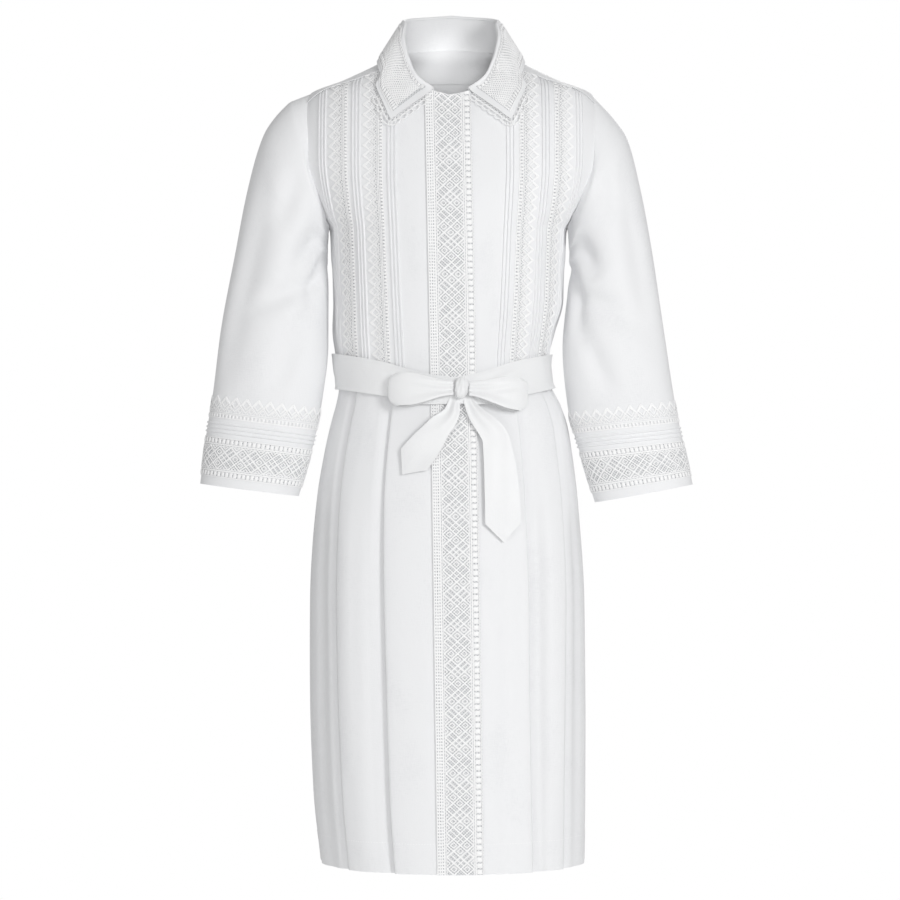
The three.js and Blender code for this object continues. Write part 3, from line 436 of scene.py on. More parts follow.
def thread_finish(name, colour, shade, twist):
    """Lace cord: matte thread with a fine twist, a little darker in places."""
    material, shader = new_material(name, colour, 0.8, 0.15)
    place = add_node(material, "ShaderNodeTexCoord").outputs["Object"]
    fibres = stretched_noise(material, place, (1 / twist,) * 3, 2).outputs["Fac"]
    shade_with(material, shader, fibres, (0.3, shade), (0.6, colour))
    raise_with(material, shader, fibres, {"Strength": 0.4, "Distance": twist * 0.3})
    return material


def painted_shade_net_finish(name, shaded_thread_colour, hole_shadow_colour, mesh):
    """Fine diagonal net: threads both ways with small holes between them. Its colours are painted shade: the
    grey threads and the darker holes stand in for the shadow seen through white lace.
    """
    material, shader = new_material(name, shaded_thread_colour, 0.85, 0.1)
    uv = add_node(material, "ShaderNodeTexCoord").outputs["UV"]
    waves = []
    for turn in (math.pi / 4, -math.pi / 4):
        values = {"Rotation": (0, 0, turn), "Scale": (1 / mesh,) * 3}
        mapping = add_node(material, "ShaderNodeMapping", values, {"Vector": uv})
        wave = add_node(
            material,
            "ShaderNodeTexWave",
            {"Scale": math.pi / 10, "Distortion": 0.0},
            {"Vector": mapping.outputs["Vector"]},
        )
        waves.append(wave.outputs["Fac"])
    # Painted shade: the threads get a grey and the holes a darker grey, in place of the shadow that falls
    # through the lace.
    holes = blend_values(material, "MULTIPLY", waves[0], waves[1])
    shade_with(material, shader, holes, (0.25, shaded_thread_colour), (0.6, hole_shadow_colour))
    raise_with(material, shader, holes, {"Strength": 0.6, "Distance": 0.0004, "invert": True})
    return material


COTTON = woven("white_cotton", (0.845, 0.85, 0.86), (0.775, 0.78, 0.795), 0.62, 0.25, 0.0011, 9)
SATIN = woven("soft_sash_satin", (0.85, 0.855, 0.86), (0.79, 0.795, 0.805), 0.42, 0.35, 0.0008, 14)
THREAD = thread_finish("lace_thread", (0.965, 0.965, 0.965), (0.9, 0.9, 0.905), 0.0008)
# The lace net is painted shade: its grey threads and darker holes stand in for shadow seen through the white
# lace.
NET_PAINTED_SHADE = painted_shade_net_finish("lace_net_painted_shade", (0.7, 0.705, 0.715), (0.42, 0.43, 0.445), 0.0032)


# Mesh helpers
def deselect():
    bpy.ops.object.select_all(action="DESELECT")


def choose(piece):
    deselect()
    piece.select_set(True)
    bpy.context.view_layer.objects.active = piece


def apply_modifier(piece, kind, **values):
    choose(piece)
    modifier = piece.modifiers.new(kind.lower(), kind)
    for name, value in values.items():
        setattr(modifier, name, value)
    bpy.ops.object.modifier_apply(modifier=modifier.name)


def read_points(piece):
    flat = np.zeros(len(piece.data.vertices) * 3, np.float32)
    piece.data.vertices.foreach_get("co", flat)
    return flat.reshape(-1, 3).astype(float)


def write_points(piece, points):
    piece.data.vertices.foreach_set("co", points.astype(np.float32).ravel())
    piece.data.update()


def weld(piece, distance=0.02):
    choose(piece)
    bpy.ops.object.mode_set(mode="EDIT")
    bpy.ops.mesh.select_all(action="SELECT")
    bpy.ops.mesh.remove_doubles(threshold=distance * MM)
    bpy.ops.mesh.dissolve_degenerate(threshold=distance * MM)
    bpy.ops.object.mode_set(mode="OBJECT")


def finish_piece(piece, material, nodes=()):
    piece.data.materials.clear()
    piece.data.materials.append(material)
    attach(piece, "root")
    if nodes:
        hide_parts(*nodes)
    return piece


def cloth(name, columns, rows, spot, thickness=CLOTH, closed=False, both_ways=False):
    """A sheet on a grid. spot gives its points for arrays of column and row values.

    closed joins its first and last columns, and both_ways gives it thickness on both sides.
    """
    columns, rows = np.asarray(columns, float), np.asarray(rows, float)
    deselect()
    bpy.ops.mesh.primitive_grid_add(x_subdivisions=len(columns) - 1, y_subdivisions=len(rows) - 1, size=1)
    piece = bpy.context.object
    piece.name = piece.data.name = name
    flat = read_points(piece)
    i = np.rint((flat[:, 0] + 0.5) * (len(columns) - 1)).astype(int)
    j = np.rint((flat[:, 1] + 0.5) * (len(rows) - 1)).astype(int)
    spots = spot(columns[i], rows[j])
    write_points(piece, spots * MM)
    grid = np.zeros((len(columns), len(rows), 3))
    grid[i, j] = spots
    write_cloth_uv(piece, grid, i, j)
    if closed:
        weld(piece)
    offset = 0 if both_ways else -1
    apply_modifier(piece, "SOLIDIFY", thickness=thickness * MM, offset=offset, use_even_offset=False)
    choose(piece)
    bpy.ops.object.shade_smooth_by_angle(angle=math.radians(50))
    return piece


def write_cloth_uv(piece, grid, i, j):
    """A UV map in metres of cloth, measured across and along the sheet."""
    across = np.linalg.norm(np.diff(grid, axis=0), axis=-1).mean(axis=1)
    along = np.linalg.norm(np.diff(grid, axis=1), axis=-1).mean(axis=0)
    u = np.append(0, np.cumsum(across))[i] * MM
    v = np.append(0, np.cumsum(along))[j] * MM
    loops = np.zeros(len(piece.data.loops), np.int32)
    piece.data.loops.foreach_get("vertex_index", loops)
    uv = np.stack([u[loops], v[loops]], axis=-1).astype(np.float32)
    piece.data.uv_layers.active.data.foreach_set("uv", uv.ravel())


# The parts of the repeat that is being drawn
made_here = []


def cord(start, end, radius, lift=0.0):
    """A straight stretch of cord in the flat, in short lengths that can follow a curve."""
    start, end = np.array(start, float), np.array(end, float)
    span = end - start
    parts = max(1, math.ceil(np.hypot(*span) / CORD_STEP))
    for k in range(parts):
        middle = start + span * (k + 0.5) / parts
        bpy.ops.mesh.primitive_cylinder_add(
            vertices=CORD_SIDES,
            radius=radius * MM,
            depth=np.hypot(*span) / parts * MM * 1.04,
            end_fill_type="NOTHING",
            location=(middle[0] * MM, middle[1] * MM, lift * MM),
            rotation=(math.pi / 2, 0, math.atan2(span[1], span[0]) + math.pi / 2),
        )
        made_here.append(bpy.context.object)


def path(points, radius, lift=0.0):
    for start, end in zip(points, points[1:]):
        cord(start, end, radius, lift)


def diamond(x, y, half_x, half_y, radius, lift=0.0):
    left, right = (x - half_x, y), (x + half_x, y)
    path([left, (x, y + half_y), right, (x, y - half_y), left], radius, lift)


def tile(x, y, width, length, height):
    """A raised block of satin stitch, narrower at its top."""
    bpy.ops.mesh.primitive_cone_add(
        vertices=4,
        radius1=math.sqrt(0.5),
        radius2=math.sqrt(0.5) * 0.72,
        depth=height * MM,
        location=(x * MM, y * MM, height * MM / 2),
        rotation=(0, 0, math.pi / 4),
    )
    block = bpy.context.object
    bpy.ops.object.transform_apply(location=False, rotation=True, scale=True)
    block.scale = (width * MM, length * MM, 1)
    made_here.append(block)


def ring(x, y, half_x, half_y, thickness):
    """A loop of lace cord."""
    bpy.ops.mesh.primitive_torus_add(
        major_segments=12,
        minor_segments=5,
        major_radius=half_y * MM,
        minor_radius=thickness * MM,
        location=(x * MM, y * MM, 0),
    )
    loop = bpy.context.object
    loop.scale = (half_x / half_y, 1, 1)
    made_here.append(loop)


def motif(name, draw):
    """One repeat, drawn flat and joined."""
    made_here.clear()
    deselect()
    draw()
    deselect()
    for part in made_here:
        part.select_set(True)
    bpy.context.view_layer.objects.active = made_here[0]
    bpy.ops.object.join()
    bpy.ops.object.transform_apply(location=True, rotation=True, scale=True)
    whole = bpy.context.object
    bpy.context.scene.cursor.location = (0, 0, 0)
    whole.name = whole.data.name = name
    return whole


def run_of(repeat, name, pitch, count, place, scale=(1, 1), weld_after=False):
    """A run of repeats along +Y, laid on the garment by place, which takes across, along and out."""
    piece = repeat.copy()
    piece.data = repeat.data.copy()
    piece.name = piece.data.name = name
    bpy.context.scene.collection.objects.link(piece)
    apply_modifier(
        piece,
        "ARRAY",
        count=count,
        use_relative_offset=False,
        use_constant_offset=True,
        constant_offset_displace=(0, pitch * MM, 0),
    )
    flat = read_points(piece) / MM
    spots = place(flat[:, 0] * scale[0], flat[:, 1] * scale[1], flat[:, 2] * CORD_FLATNESS)
    write_points(piece, spots * MM)
    if weld_after:
        weld(piece)
    choose(piece)
    bpy.ops.object.shade_smooth_by_angle(angle=math.radians(55))
    return piece


def shifted(place, by):
    return lambda across, along, out: place(across + by, along, out)


def face_of(place):
    return lambda across, along: place(across, along, 0)


# One repeat of the zigzag lace: blocks along its straight edge, a net, and diamonds up to its points
VALLEY = 0.62
GAP = {"near": 0.53, "middle": 0.7, "far": 0.87, "half": 0.3}
BLOCKS = {"count": 3, "middle": 3.6, "width": 4.2, "between": 1.7, "height": 1.0}
BLOCK_RAILS = (0.8, 6.4)
NET_RAIL = 8.4
SMALL_DIAMOND = {"x": 13, "half_x": 3, "half_y": 3.1}
DIAMOND_INNER_X = 10.4
BAR = {"off_middle": 3.4, "to": 12.4, "at_valley_to": 11}
ZIGZAG_CORD = {"edge": 1.15, "ring": 0.85, "rail": 0.7, "net_rail": 0.6, "small": 0.65, "bar": 0.5}


def draw_zigzag_lace():
    middle = LACE_REPEAT / 2
    for x in BLOCK_RAILS:
        cord((x, 0), (x, LACE_REPEAT), ZIGZAG_CORD["rail"])
    length = LACE_REPEAT / BLOCKS["count"]
    for k in range(BLOCKS["count"]):
        y = length * (k + 0.5)
        tile(BLOCKS["middle"], y, BLOCKS["width"], length - BLOCKS["between"], BLOCKS["height"])
    cord((NET_RAIL, 0), (NET_RAIL, LACE_REPEAT), ZIGZAG_CORD["net_rail"])
    valley, tip = VALLEY * LACE_WIDTH, LACE_WIDTH - 1
    path([(valley, 0), (tip, middle), (valley, LACE_REPEAT)], ZIGZAG_CORD["edge"])
    path([(valley, 0), (DIAMOND_INNER_X, middle), (valley, LACE_REPEAT)], ZIGZAG_CORD["ring"])
    half_x = (GAP["far"] - GAP["near"]) / 2 * LACE_WIDTH + 0.5
    half_y = GAP["half"] * LACE_REPEAT + 0.4
    diamond(GAP["middle"] * LACE_WIDTH - 0.4, middle, half_x, half_y, ZIGZAG_CORD["ring"], 0.3)
    small = SMALL_DIAMOND
    diamond(small["x"], 0, small["half_x"], small["half_y"], ZIGZAG_CORD["small"], 0.2)
    cord((NET_RAIL, 0), (BAR["at_valley_to"], 0), ZIGZAG_CORD["bar"])
    for y in (middle - BAR["off_middle"], middle + BAR["off_middle"]):
        cord((NET_RAIL, y), (BAR["to"], y), ZIGZAG_CORD["bar"])


# One repeat of the broad lace: interlaced diamonds, some with a smaller diamond inside and some crossed
BROAD = {"across": 9.25, "along": 8.325, "cord": 1.05, "fine": 0.8, "nested": 0.45}
BROAD_REPEAT = 4 * BROAD["along"]
BROAD_HALF = 2 * BROAD["across"]


def half_diamond(side, y, share):
    """The part of a nested diamond that fits in at the edge of the broad lace."""
    x, reach, rise = side * BROAD_HALF, BROAD["across"] * share, BROAD["along"] * share
    path([(x, y - rise), (x - side * reach, y), (x, y + rise)], BROAD["fine"], 0.2)


def draw_broad_lace():
    a, b, nested = BROAD["across"], BROAD["along"], BROAD["nested"]
    for low in (0, 2 * b):
        for tip in (low, low + 2 * b):
            line = [(-2 * a, low + b), (-a, tip), (0, low + b), (a, tip), (2 * a, low + b)]
            path(line, BROAD["cord"], 0.1)
    for x, y in ((-a, b), (a, b), (0, 4 * b)):
        diamond(x, y, a * nested, b * nested, BROAD["fine"], 0.2)
    for side in (-1, 1):
        cord((-a / 2, 2 * b - side * b / 2), (a / 2, 2 * b + side * b / 2), BROAD["fine"], 0.2)
        cord((side * a / 2, 2.5 * b), (side * 1.5 * a, 3.5 * b), BROAD["fine"], 0.2)
        half_diamond(side, 2 * b, nested)
        half_diamond(side, 4 * b, nested)
        for rail in (0.4, 2.6):
            cord((side * (BROAD_HALF + rail), 0), (side * (BROAD_HALF + rail), BROAD_REPEAT), 0.75)


def draw_blocks(width, pitch, gap):
    """A row of satin blocks between two rails, centred on x 0."""
    tile(0, pitch / 2, width - 0.9, pitch - gap, 1.0)
    for side in (-1, 1):
        cord((side * (width / 2 + 0.6), 0), (side * (width / 2 + 0.6), pitch), 0.7)


def draw_ladder(rails, pitch):
    """Upright cords joined by rungs, with small holes between them."""
    for x in rails:
        cord((x, 0), (x, pitch), 0.9)
    cord((rails[0], pitch / 2), (rails[-1], pitch / 2), 1.15, 0.1)


def draw_dots(columns, pitch):
    """Crossed cords that leave a slanting grid of small holes."""
    for i in range(columns):
        x = (i - columns / 2) * pitch
        cord((x, 0), (x + pitch, pitch), 0.8)
        cord((x, pitch), (x + pitch, 0), 0.8)


# The scalloped lace of the collar: large loops outside, two small loops inside each
TRIM_WIDTH = 12


def draw_scallops():
    middle = LACE_REPEAT / 2
    ring(8, middle, 3.6, 6.6, 0.75)
    for y in (middle / 2, middle * 1.5):
        ring(2.6, y, 1.9, 3.2, 0.55)
    cord((-0.6, 0), (-0.6, LACE_REPEAT), 0.7)
    path([(4.9, 0), (5.6, middle), (4.9, LACE_REPEAT)], 0.55)
    path([(9.4, 0), (TRIM_WIDTH - 0.3, middle), (9.4, LACE_REPEAT)], 0.7)


def draw_stitch():
    bpy.ops.mesh.primitive_uv_sphere_add(segments=6, ring_count=4, radius=1, location=(0, 0, 0))
    stitch = bpy.context.object
    stitch.scale = (0.32 * MM, 1.2 * MM, 0.26 * MM)
    made_here.append(stitch)


zigzag_repeat = motif("zigzag_repeat", draw_zigzag_lace)
broad_repeat = motif("broad_repeat", draw_broad_lace)
scallop_repeat = motif("scallop_repeat", draw_scallops)
stitch_repeat = motif("stitch_repeat", draw_stitch)
PITCH = {"wide": 8.5, "fine": 4.4, "cuff": 5.92, "collar": 5.2, "dots": 4.3}
DOT_COLUMNS = 8
wide_blocks = motif("wide_blocks", lambda: draw_blocks(8, PITCH["wide"], 2.2))
fine_ladder = motif("fine_ladder", lambda: draw_ladder((-4.8, -1.6, 1.6, 4.8), PITCH["fine"]))
cuff_blocks = motif("cuff_blocks", lambda: draw_blocks(7.4, PITCH["cuff"], 1.6))
collar_blocks = motif("collar_blocks", lambda: draw_blocks(6.2, PITCH["collar"], 1.7))
collar_dots = motif("collar_dots", lambda: draw_dots(DOT_COLUMNS, PITCH["dots"]))
REPEATS = (
    zigzag_repeat,
    broad_repeat,
    scallop_repeat,
    stitch_repeat,
    wide_blocks,
    fine_ladder,
    cuff_blocks,
    collar_blocks,
    collar_dots,
)
STITCH_PITCH = 4


def stitches(name, length, place):
    """A row of sewing. place takes across, along and out, with along up to length."""
    piece = run_of(stitch_repeat, name, STITCH_PITCH, int(length / STITCH_PITCH), place)
    finish_piece(piece, THREAD)


# Fronts
TUCK_PROFILE = table("across raised", (0, 0), (0.25, 1.1), (0.8, 1.8), (2.2, 1.6), (2.6, 0.1), (3.9, 0))
NECKLINE = np.linspace(0, YOKE_NECK_ANGLE, 25)
FRONT_CORNER = float(armhole(YOKE_FRONT_TURN)[0])
SEAM_SHARES = np.linspace(0, 1, 13)[1:]
TOP_ANGLES = np.append(NECKLINE, mix(YOKE_NECK_ANGLE, FRONT_CORNER, SEAM_SHARES))
TOP_HEIGHTS = np.append(neck_height(NECKLINE), mix(neck_height(YOKE_NECK_ANGLE), YOKE_FRONT_Z, SEAM_SHARES))
TOP_ARCS = arc_at(TOP_ANGLES, TOP_HEIGHTS)


def front_top(arc):
    return np.interp(np.abs(arc), TOP_ARCS, TOP_HEIGHTS)


def front_edge_arc(z):
    angle, _ = armhole(turn_at_height(z))
    return np.where(z <= UNDERARM_Z, arc_at(90.0, z), arc_at(angle, z))


LAP_COLUMNS = 7


def front_columns():
    """Columns across a front, as a place between its named lines, and how far each is raised."""
    columns = [(at, 0.0) for at in np.linspace(0, 1, LAP_COLUMNS)]
    ends = [INNER_TUCKS_AT, MIDDLE_TUCKS_AT, OUTER_TUCKS_AT, TUCKS_END]
    for group, start in enumerate(ends[:-1]):
        for tuck in range(TUCKS_IN_GROUP):
            for row in TUCK_PROFILE:
                columns.append((start + tuck * TUCK_PITCH + row["across"], row["raised"]))
        last = start + TUCKS_IN_GROUP * TUCK_PITCH
        plain_to = ends[group + 1]
        columns += [(at, 0.0) for at in np.arange(last, plain_to - 1, 4.5)]
    columns = [
        (at if at <= 1 else 1 + (at - BANDS_FROM) / (TUCKS_END - BANDS_FROM), raised)
        for at, raised in columns
    ]
    first = columns[LAP_COLUMNS][0]
    columns[LAP_COLUMNS:LAP_COLUMNS] = [(1 + share * (first - 1), 0.0) for share in (0.25, 0.5, 0.75)]
    columns += [(2 + share, 0.0) for share in np.linspace(0, 1, 9)]
    return np.array(columns)


FRONT_COLUMNS = front_columns()


def front_spot(side, lap):
    def spot(index, share):
        at, raised = FRONT_COLUMNS[index.astype(int)].T

        def arc_of(z):
            lines = np.stack(
                [
                    lap + side * placket_centre(z),
                    BANDS_FROM + band_shift(side, z),
                    TUCKS_END + band_shift(side, z),
                    front_edge_arc(z) - SEAM / 2,
                ]
            )
            k = np.clip(at.astype(int), 0, 2)
            here = np.arange(len(at))
            return mix(lines[k, here], lines[k + 1, here], at - k)

        top = front_top(arc_of(np.full(len(at), YOKE_FRONT_Z)))
        z = mix(WAIST_Z + SEAM / 2, top + SEAM_LAP, share)
        under = smooth(top - SEAM_LAP, top + SEAM_LAP / 2, z)
        return skin(side * angle_at(arc_of(z), z), z, mix(raised, -SEAM_DEPTH, under))

    return spot


def band_place(side, start, lift):
    """Places things on a front, across from a distance round the body and up from the waist."""

    def place(across, along, out):
        top = front_top(start + across) - SEAM - 0.6
        z = np.minimum(WAIST_Z + along, top)
        return skin(side * angle_at(start + across + band_shift(side, z), z), z, lift + out)

    return place


LAP = {"right": 30, "left": -29}
GROUND_WIDTH = 13
FRONT_LACE_LIFT = 0.75
LACE_OVER_NET = 0.35


def make_fronts():
    rows = np.linspace(0, 1, 84)
    for name, side in SIDES.items():
        order = np.arange(len(FRONT_COLUMNS))[::side]
        front = cloth(f"cloth_front_{name}", order, rows, front_spot(side, LAP[name]))
        finish_piece(front, COTTON, [f"front_{name}"])
        for place_name, start in (("inner", INNER_LACE_AT), ("outer", OUTER_LACE_AT)):
            strip = f"{place_name}_{name}"
            place = band_place(side, start, FRONT_LACE_LIFT)
            top = float(front_top(start + 6)) - WAIST_Z
            # The net under each strip carries painted shade: its grey stands in for the shadow seen through
            # the lace.
            across, along = np.linspace(0.4, GROUND_WIDTH, 6)[::side], np.linspace(1, top, 70)
            ground_place = face_of(band_place(side, start, NET + 0.15))
            ground = cloth(f"net_{strip}", across, along, ground_place, NET)
            finish_piece(ground, NET_PAINTED_SHADE)
            count = math.ceil(top / LACE_REPEAT)
            cords = run_of(zigzag_repeat, f"lace_{strip}", LACE_REPEAT, count, place, weld_after=True)
            finish_piece(cords, THREAD, [f"front_lace_{strip}"])


# Back, yoke and neck facing
def make_back():
    def spot(across, share):
        z = mix(WAIST_Z + SEAM / 2, YOKE_BACK_Z + SEAM_LAP, share)
        angle, _ = armhole(-turn_at_height(z))
        edge = np.where(z <= UNDERARM_Z, 90.0, angle)
        under = smooth(YOKE_BACK_Z - SEAM_LAP, YOKE_BACK_Z + SEAM_LAP / 2, z)
        return skin(180 - across * (180 - edge - 0.05), z, -SEAM_DEPTH * under)

    back = cloth("cloth_back", np.linspace(1, -1, 121), np.linspace(0, 1, 70), spot)
    finish_piece(back, COTTON, ["back"])


# The yoke's edges: the neck seam, and outside it the front seam, the armhole and the back seam
YOKE_TURNS = np.array([YOKE_FRONT_TURN, 18, 0, -18, -36, -52, YOKE_BACK_TURN])
YOKE_CORNER = len(YOKE_TURNS) - 1
YOKE_NECK_STEP = 14.5
YOKE_NECK = np.append(YOKE_NECK_ANGLE + YOKE_NECK_STEP * np.arange(YOKE_CORNER + 1), [139, 153, 166, 180])
YOKE_BACK_ANGLES = [130, 147, 163, 180]


def make_yoke():
    last = len(YOKE_NECK) - 1

    def spot(station, share):
        side = np.where(station <= last, 1, -1)
        at = np.where(station <= last, station, 2 * last - station)
        turn_angle, turn_z = armhole(np.interp(at, np.arange(YOKE_CORNER + 1), YOKE_TURNS))
        corner = float(armhole(YOKE_BACK_TURN)[0])
        seam = np.append(corner, YOKE_BACK_ANGLES)
        seam_angle = np.interp(at, np.arange(YOKE_CORNER, last + 1), seam)
        outer = np.where(at <= YOKE_CORNER, turn_angle, seam_angle)
        outer_z = np.where(at <= YOKE_CORNER, turn_z, YOKE_BACK_Z)
        neck = np.interp(at, np.arange(last + 1), YOKE_NECK)
        z = mix(neck_height(neck), outer_z, share) + SEAM * (at < 0.5)
        seam_roll = 0.9 * (1 - smooth(0, 0.35, at)) + 0.8 * (at > YOKE_CORNER) * smooth(0.93, 1, share)
        return skin(side * mix(neck, outer, share), z, 0.15 + seam_roll)

    yoke = cloth("cloth_yoke", np.linspace(0, 2 * last, 161), np.linspace(1, 0, 30), spot)
    finish_piece(yoke, COTTON, ["yoke"])


FACING = {"reach": 68, "depth": 45, "gap": 2.6, "below_neck": 2}


def make_facing():
    def spot(across, share):
        angle = 180 + across * FACING["reach"]
        top = neck_height(np.minimum(angle, 360 - angle)) - FACING["below_neck"]
        z = top - share * FACING["depth"] * np.sqrt(1.06 - across**2)
        return skin(angle, z, -FACING["gap"])

    facing = cloth("cloth_neck_facing", np.linspace(-1, 1, 61), np.linspace(1, 0, 14), spot)
    finish_piece(facing, COTTON, ["neck_facing"])


# Placket
PLACKET_LIFT = 0.5
LACE_BANDS = {"right": -27.3, "centre": -0.6, "left": 25.9}


def placket_place(lift):
    """Places things on the placket, across from its middle and up from the hem."""

    def place(across, along, out):
        top = front_top(across + PLACKET_TOP_X) - SEAM - 0.6
        z = np.minimum(HEM_Z + along, top)
        return skin(angle_at(across + placket_centre(z), z), z, lift + out)

    return place


def make_placket():
    long = -HEM_Z - 40
    half, half_net = PLACKET_WIDTH / 2, PLACKET_LACE_WIDTH / 2
    heights = np.append(np.linspace(0, long - 30, 150), np.linspace(long - 27, long + 30, 14))
    place = placket_place(PLACKET_LIFT + CLOTH)
    band = cloth("cloth_placket", np.linspace(-half, half, 23), heights, face_of(place))
    finish_piece(band, COTTON, ["placket_bodice", "placket_skirt"])
    # The net under the placket lace carries painted shade: its grey stands in for the shadow seen through
    # the lace.
    net_place = placket_place(PLACKET_LIFT + CLOTH + SEAM + NET)
    net = cloth("net_placket", np.linspace(-half_net, half_net, 19), heights, face_of(net_place), NET)
    finish_piece(net, NET_PAINTED_SHADE)
    lace_place = placket_place(PLACKET_LIFT + CLOTH + SEAM + NET + LACE_OVER_NET)
    full = long + 40
    bands = (
        (broad_repeat, "broad", BROAD_REPEAT, LACE_BANDS["centre"]),
        (wide_blocks, "wide", PITCH["wide"], LACE_BANDS["left"]),
        (fine_ladder, "fine", PITCH["fine"], LACE_BANDS["right"]),
    )
    for repeat, name, pitch, by in bands:
        count, place = int(full / pitch), shifted(lace_place, by)
        piece = run_of(repeat, f"lace_placket_{name}", pitch, count, place, weld_after=True)
        finish_piece(piece, THREAD, ["placket_lace"] if name == "broad" else ())
    edge = placket_place(PLACKET_LIFT + CLOTH + 0.15)
    for name, by in (("right", -half + 1.2), ("left", half - 1.2)):
        stitches(f"stitches_placket_{name}", long + 30, shifted(edge, by))


# Sleeves, as seen from the front: the outer and inner edge at each rise above the hem
SLEEVE_ROWS = {
    "right": table(
        "rise outer_x outer_z inner_x inner_z half_depth centre_y",
        (566, -239, -55, -177.5, -249, 60, -2),
        (508, -271, -101, -178, -261, 60, -5),
        (428, -294, -180, -178, -284, 58, -8),
        (332, -312, -274, -177, -325, 55, -12),
        (222, -332, -383, -177, -405, 51, -18),
        (124, -344, -481, -188, -500, 47, -22),
        (74, -352, -531, -199, -551, 45, -25),
        (0, -361, -605, -219, -623, 44, -28),
    ),
    "left": table(
        "rise outer_x outer_z inner_x inner_z half_depth centre_y",
        (566, 237, -78, 171, -262, 60, -2),
        (508, 255, -107, 171, -270, 60, -5),
        (428, 274, -180, 171, -293, 58, -8),
        (332, 290, -267, 168, -333, 55, -12),
        (222, 307, -383, 161, -412, 51, -18),
        (124, 323, -489, 170, -506, 47, -22),
        (74, 333, -539, 184, -555, 45, -25),
        (0, 348, -606, 207, -632, 44, -28),
    ),
}
SLEEVE_FOLDS = {
    "right": table(
        "from_a from_b to_a to_b width depth",
        (150, 520, 108, 330, 17, 6),
        (166, 450, 128, 270, 13, 4.5),
        (150, 350, 72, 262, 15, 4),
        (62, 440, 42, 170, 20, 3),
        (118, 250, 98, 145, 15, 2.6),
        (96, 540, 82, 420, 14, 3),
        (212, 500, 256, 310, 17, 6),
        (196, 400, 238, 240, 14, 4.5),
        (300, 410, 312, 160, 20, 3),
        (252, 230, 268, 140, 14, 2.6),
    ),
    "left": table(
        "from_a from_b to_a to_b width depth",
        (156, 525, 112, 350, 16, 6.5),
        (168, 430, 132, 240, 14, 5),
        (140, 320, 66, 236, 16, 3.6),
        (58, 470, 46, 200, 20, 2.6),
        (124, 230, 100, 142, 14, 3),
        (90, 545, 78, 440, 13, 2.8),
        (208, 510, 250, 330, 17, 6),
        (192, 420, 232, 260, 14, 4),
        (296, 440, 308, 190, 19, 3),
        (246, 240, 262, 145, 14, 3),
    ),
}
MM_PER_TURN = 1.05
SLEEVE_FOLD_DEPTH = 2.3
SLEEVE_TOP = 604
HEAD_FROM = 540
HEAD_LAP = {"across": 1.03, "up": 1.012}
SLEEVE_REPEATS = 24
CUFF = {"hem": 13, "band_top": 69, "tucks_from": 75, "tuck": 6, "lace_from": 96, "lace_to": 128}
SLEEVE_NAMES = ("outer_x", "outer_z", "inner_x", "inner_z", "half_depth", "centre_y")
SLEEVE_TRACKS = {
    name: {key: track(rows, "rise", key) for key in SLEEVE_NAMES} for name, rows in SLEEVE_ROWS.items()
}


def sleeve_ring(name, turn, rise):
    at = {key: curve(rise) for key, curve in SLEEVE_TRACKS[name].items()}
    outwards = (1 + np.cos(np.radians(turn))) / 2
    return points_of(
        mix(at["inner_x"], at["outer_x"], outwards),
        at["centre_y"] - at["half_depth"] * np.sin(np.radians(turn)),
        mix(at["inner_z"], at["outer_z"], outwards),
    )


def sleeve_head(side, turn):
    angle, z = armhole(turn)
    lift = -0.5 + 1.5 * ((1 - np.cos(np.radians(turn))) / 2) ** 3
    return skin(side * mix(90, angle, HEAD_LAP["across"]), mix(ARMHOLE_MIDDLE, z, HEAD_LAP["up"]), lift)


def sleeve_point(name, turn, rise):
    turn, rise = np.broadcast_arrays(np.asarray(turn, float), np.asarray(rise, float))
    head = (np.clip((rise - HEAD_FROM) / (SLEEVE_TOP - HEAD_FROM), 0, 1) ** 2)[..., None]
    return sleeve_ring(name, turn, rise) * (1 - head) + sleeve_head(SIDES[name], turn) * head


def sleeve_skin(name, turn, rise, out):
    around = sleeve_point(name, turn + 0.7, rise) - sleeve_point(name, turn - 0.7, rise)
    above = sleeve_point(name, turn, np.minimum(rise + 1.5, SLEEVE_TOP))
    along = above - sleeve_point(name, turn, rise - 1.5)
    normal = unit(np.cross(around, along)) * -SIDES[name]
    calm = smooth(110, 160, rise) * (1 - smooth(530, SLEEVE_TOP, rise))
    folds = troughs(SLEEVE_FOLDS[name], np.mod(turn, 360), rise, MM_PER_TURN) * calm * SLEEVE_FOLD_DEPTH
    return sleeve_point(name, turn, rise) + normal * (out - folds)[..., None]


def equal_turns():
    """The turn at each share of the way round the cuff."""
    fine = np.linspace(0, 360, 721)
    spots = sleeve_ring("right", fine, np.full(721, float(CUFF["lace_from"])))
    lengths = lengths_along(spots)
    return fine, lengths / lengths[-1]


CUFF_TURNS, CUFF_SHARES = equal_turns()


def cuff_place(name, lift):
    """Places things on a cuff: across is the rise above the hem, and along goes round it."""

    def place(across, along, out):
        turn = np.interp(np.mod(along / (SLEEVE_REPEATS * LACE_REPEAT), 1), CUFF_SHARES, CUFF_TURNS)
        return sleeve_skin(name, turn, across, lift + out)

    return place


def sleeve_rows():
    rows = [(rise, 0.0) for rise in np.linspace(0, CUFF["tucks_from"] - 1, 14)]
    for tuck in range(TUCKS_IN_GROUP):
        for row in TUCK_PROFILE:
            start = CUFF["tucks_from"] + tuck * CUFF["tuck"]
            rows.append((start + row["across"] * CUFF["tuck"] / TUCK_PITCH, row["raised"]))
    rows += [(rise, 0.0) for rise in np.linspace(94, SLEEVE_TOP, 92)]
    return np.array(rows)


def make_sleeves():
    rows = sleeve_rows()
    for name, side in SIDES.items():
        turns = np.interp(np.linspace(0, 1, 121), CUFF_SHARES, CUFF_TURNS)

        def spot(turn, index):
            rise, raised = rows[index.astype(int)].T
            return sleeve_skin(name, turn, rise, raised)

        sleeve = cloth(f"cloth_sleeve_{name}", turns[::-side], np.arange(len(rows)), spot, closed=True)
        finish_piece(sleeve, COTTON, [f"sleeve_front_{name}", f"sleeve_back_{name}"])
        make_cuff(name, side, turns)


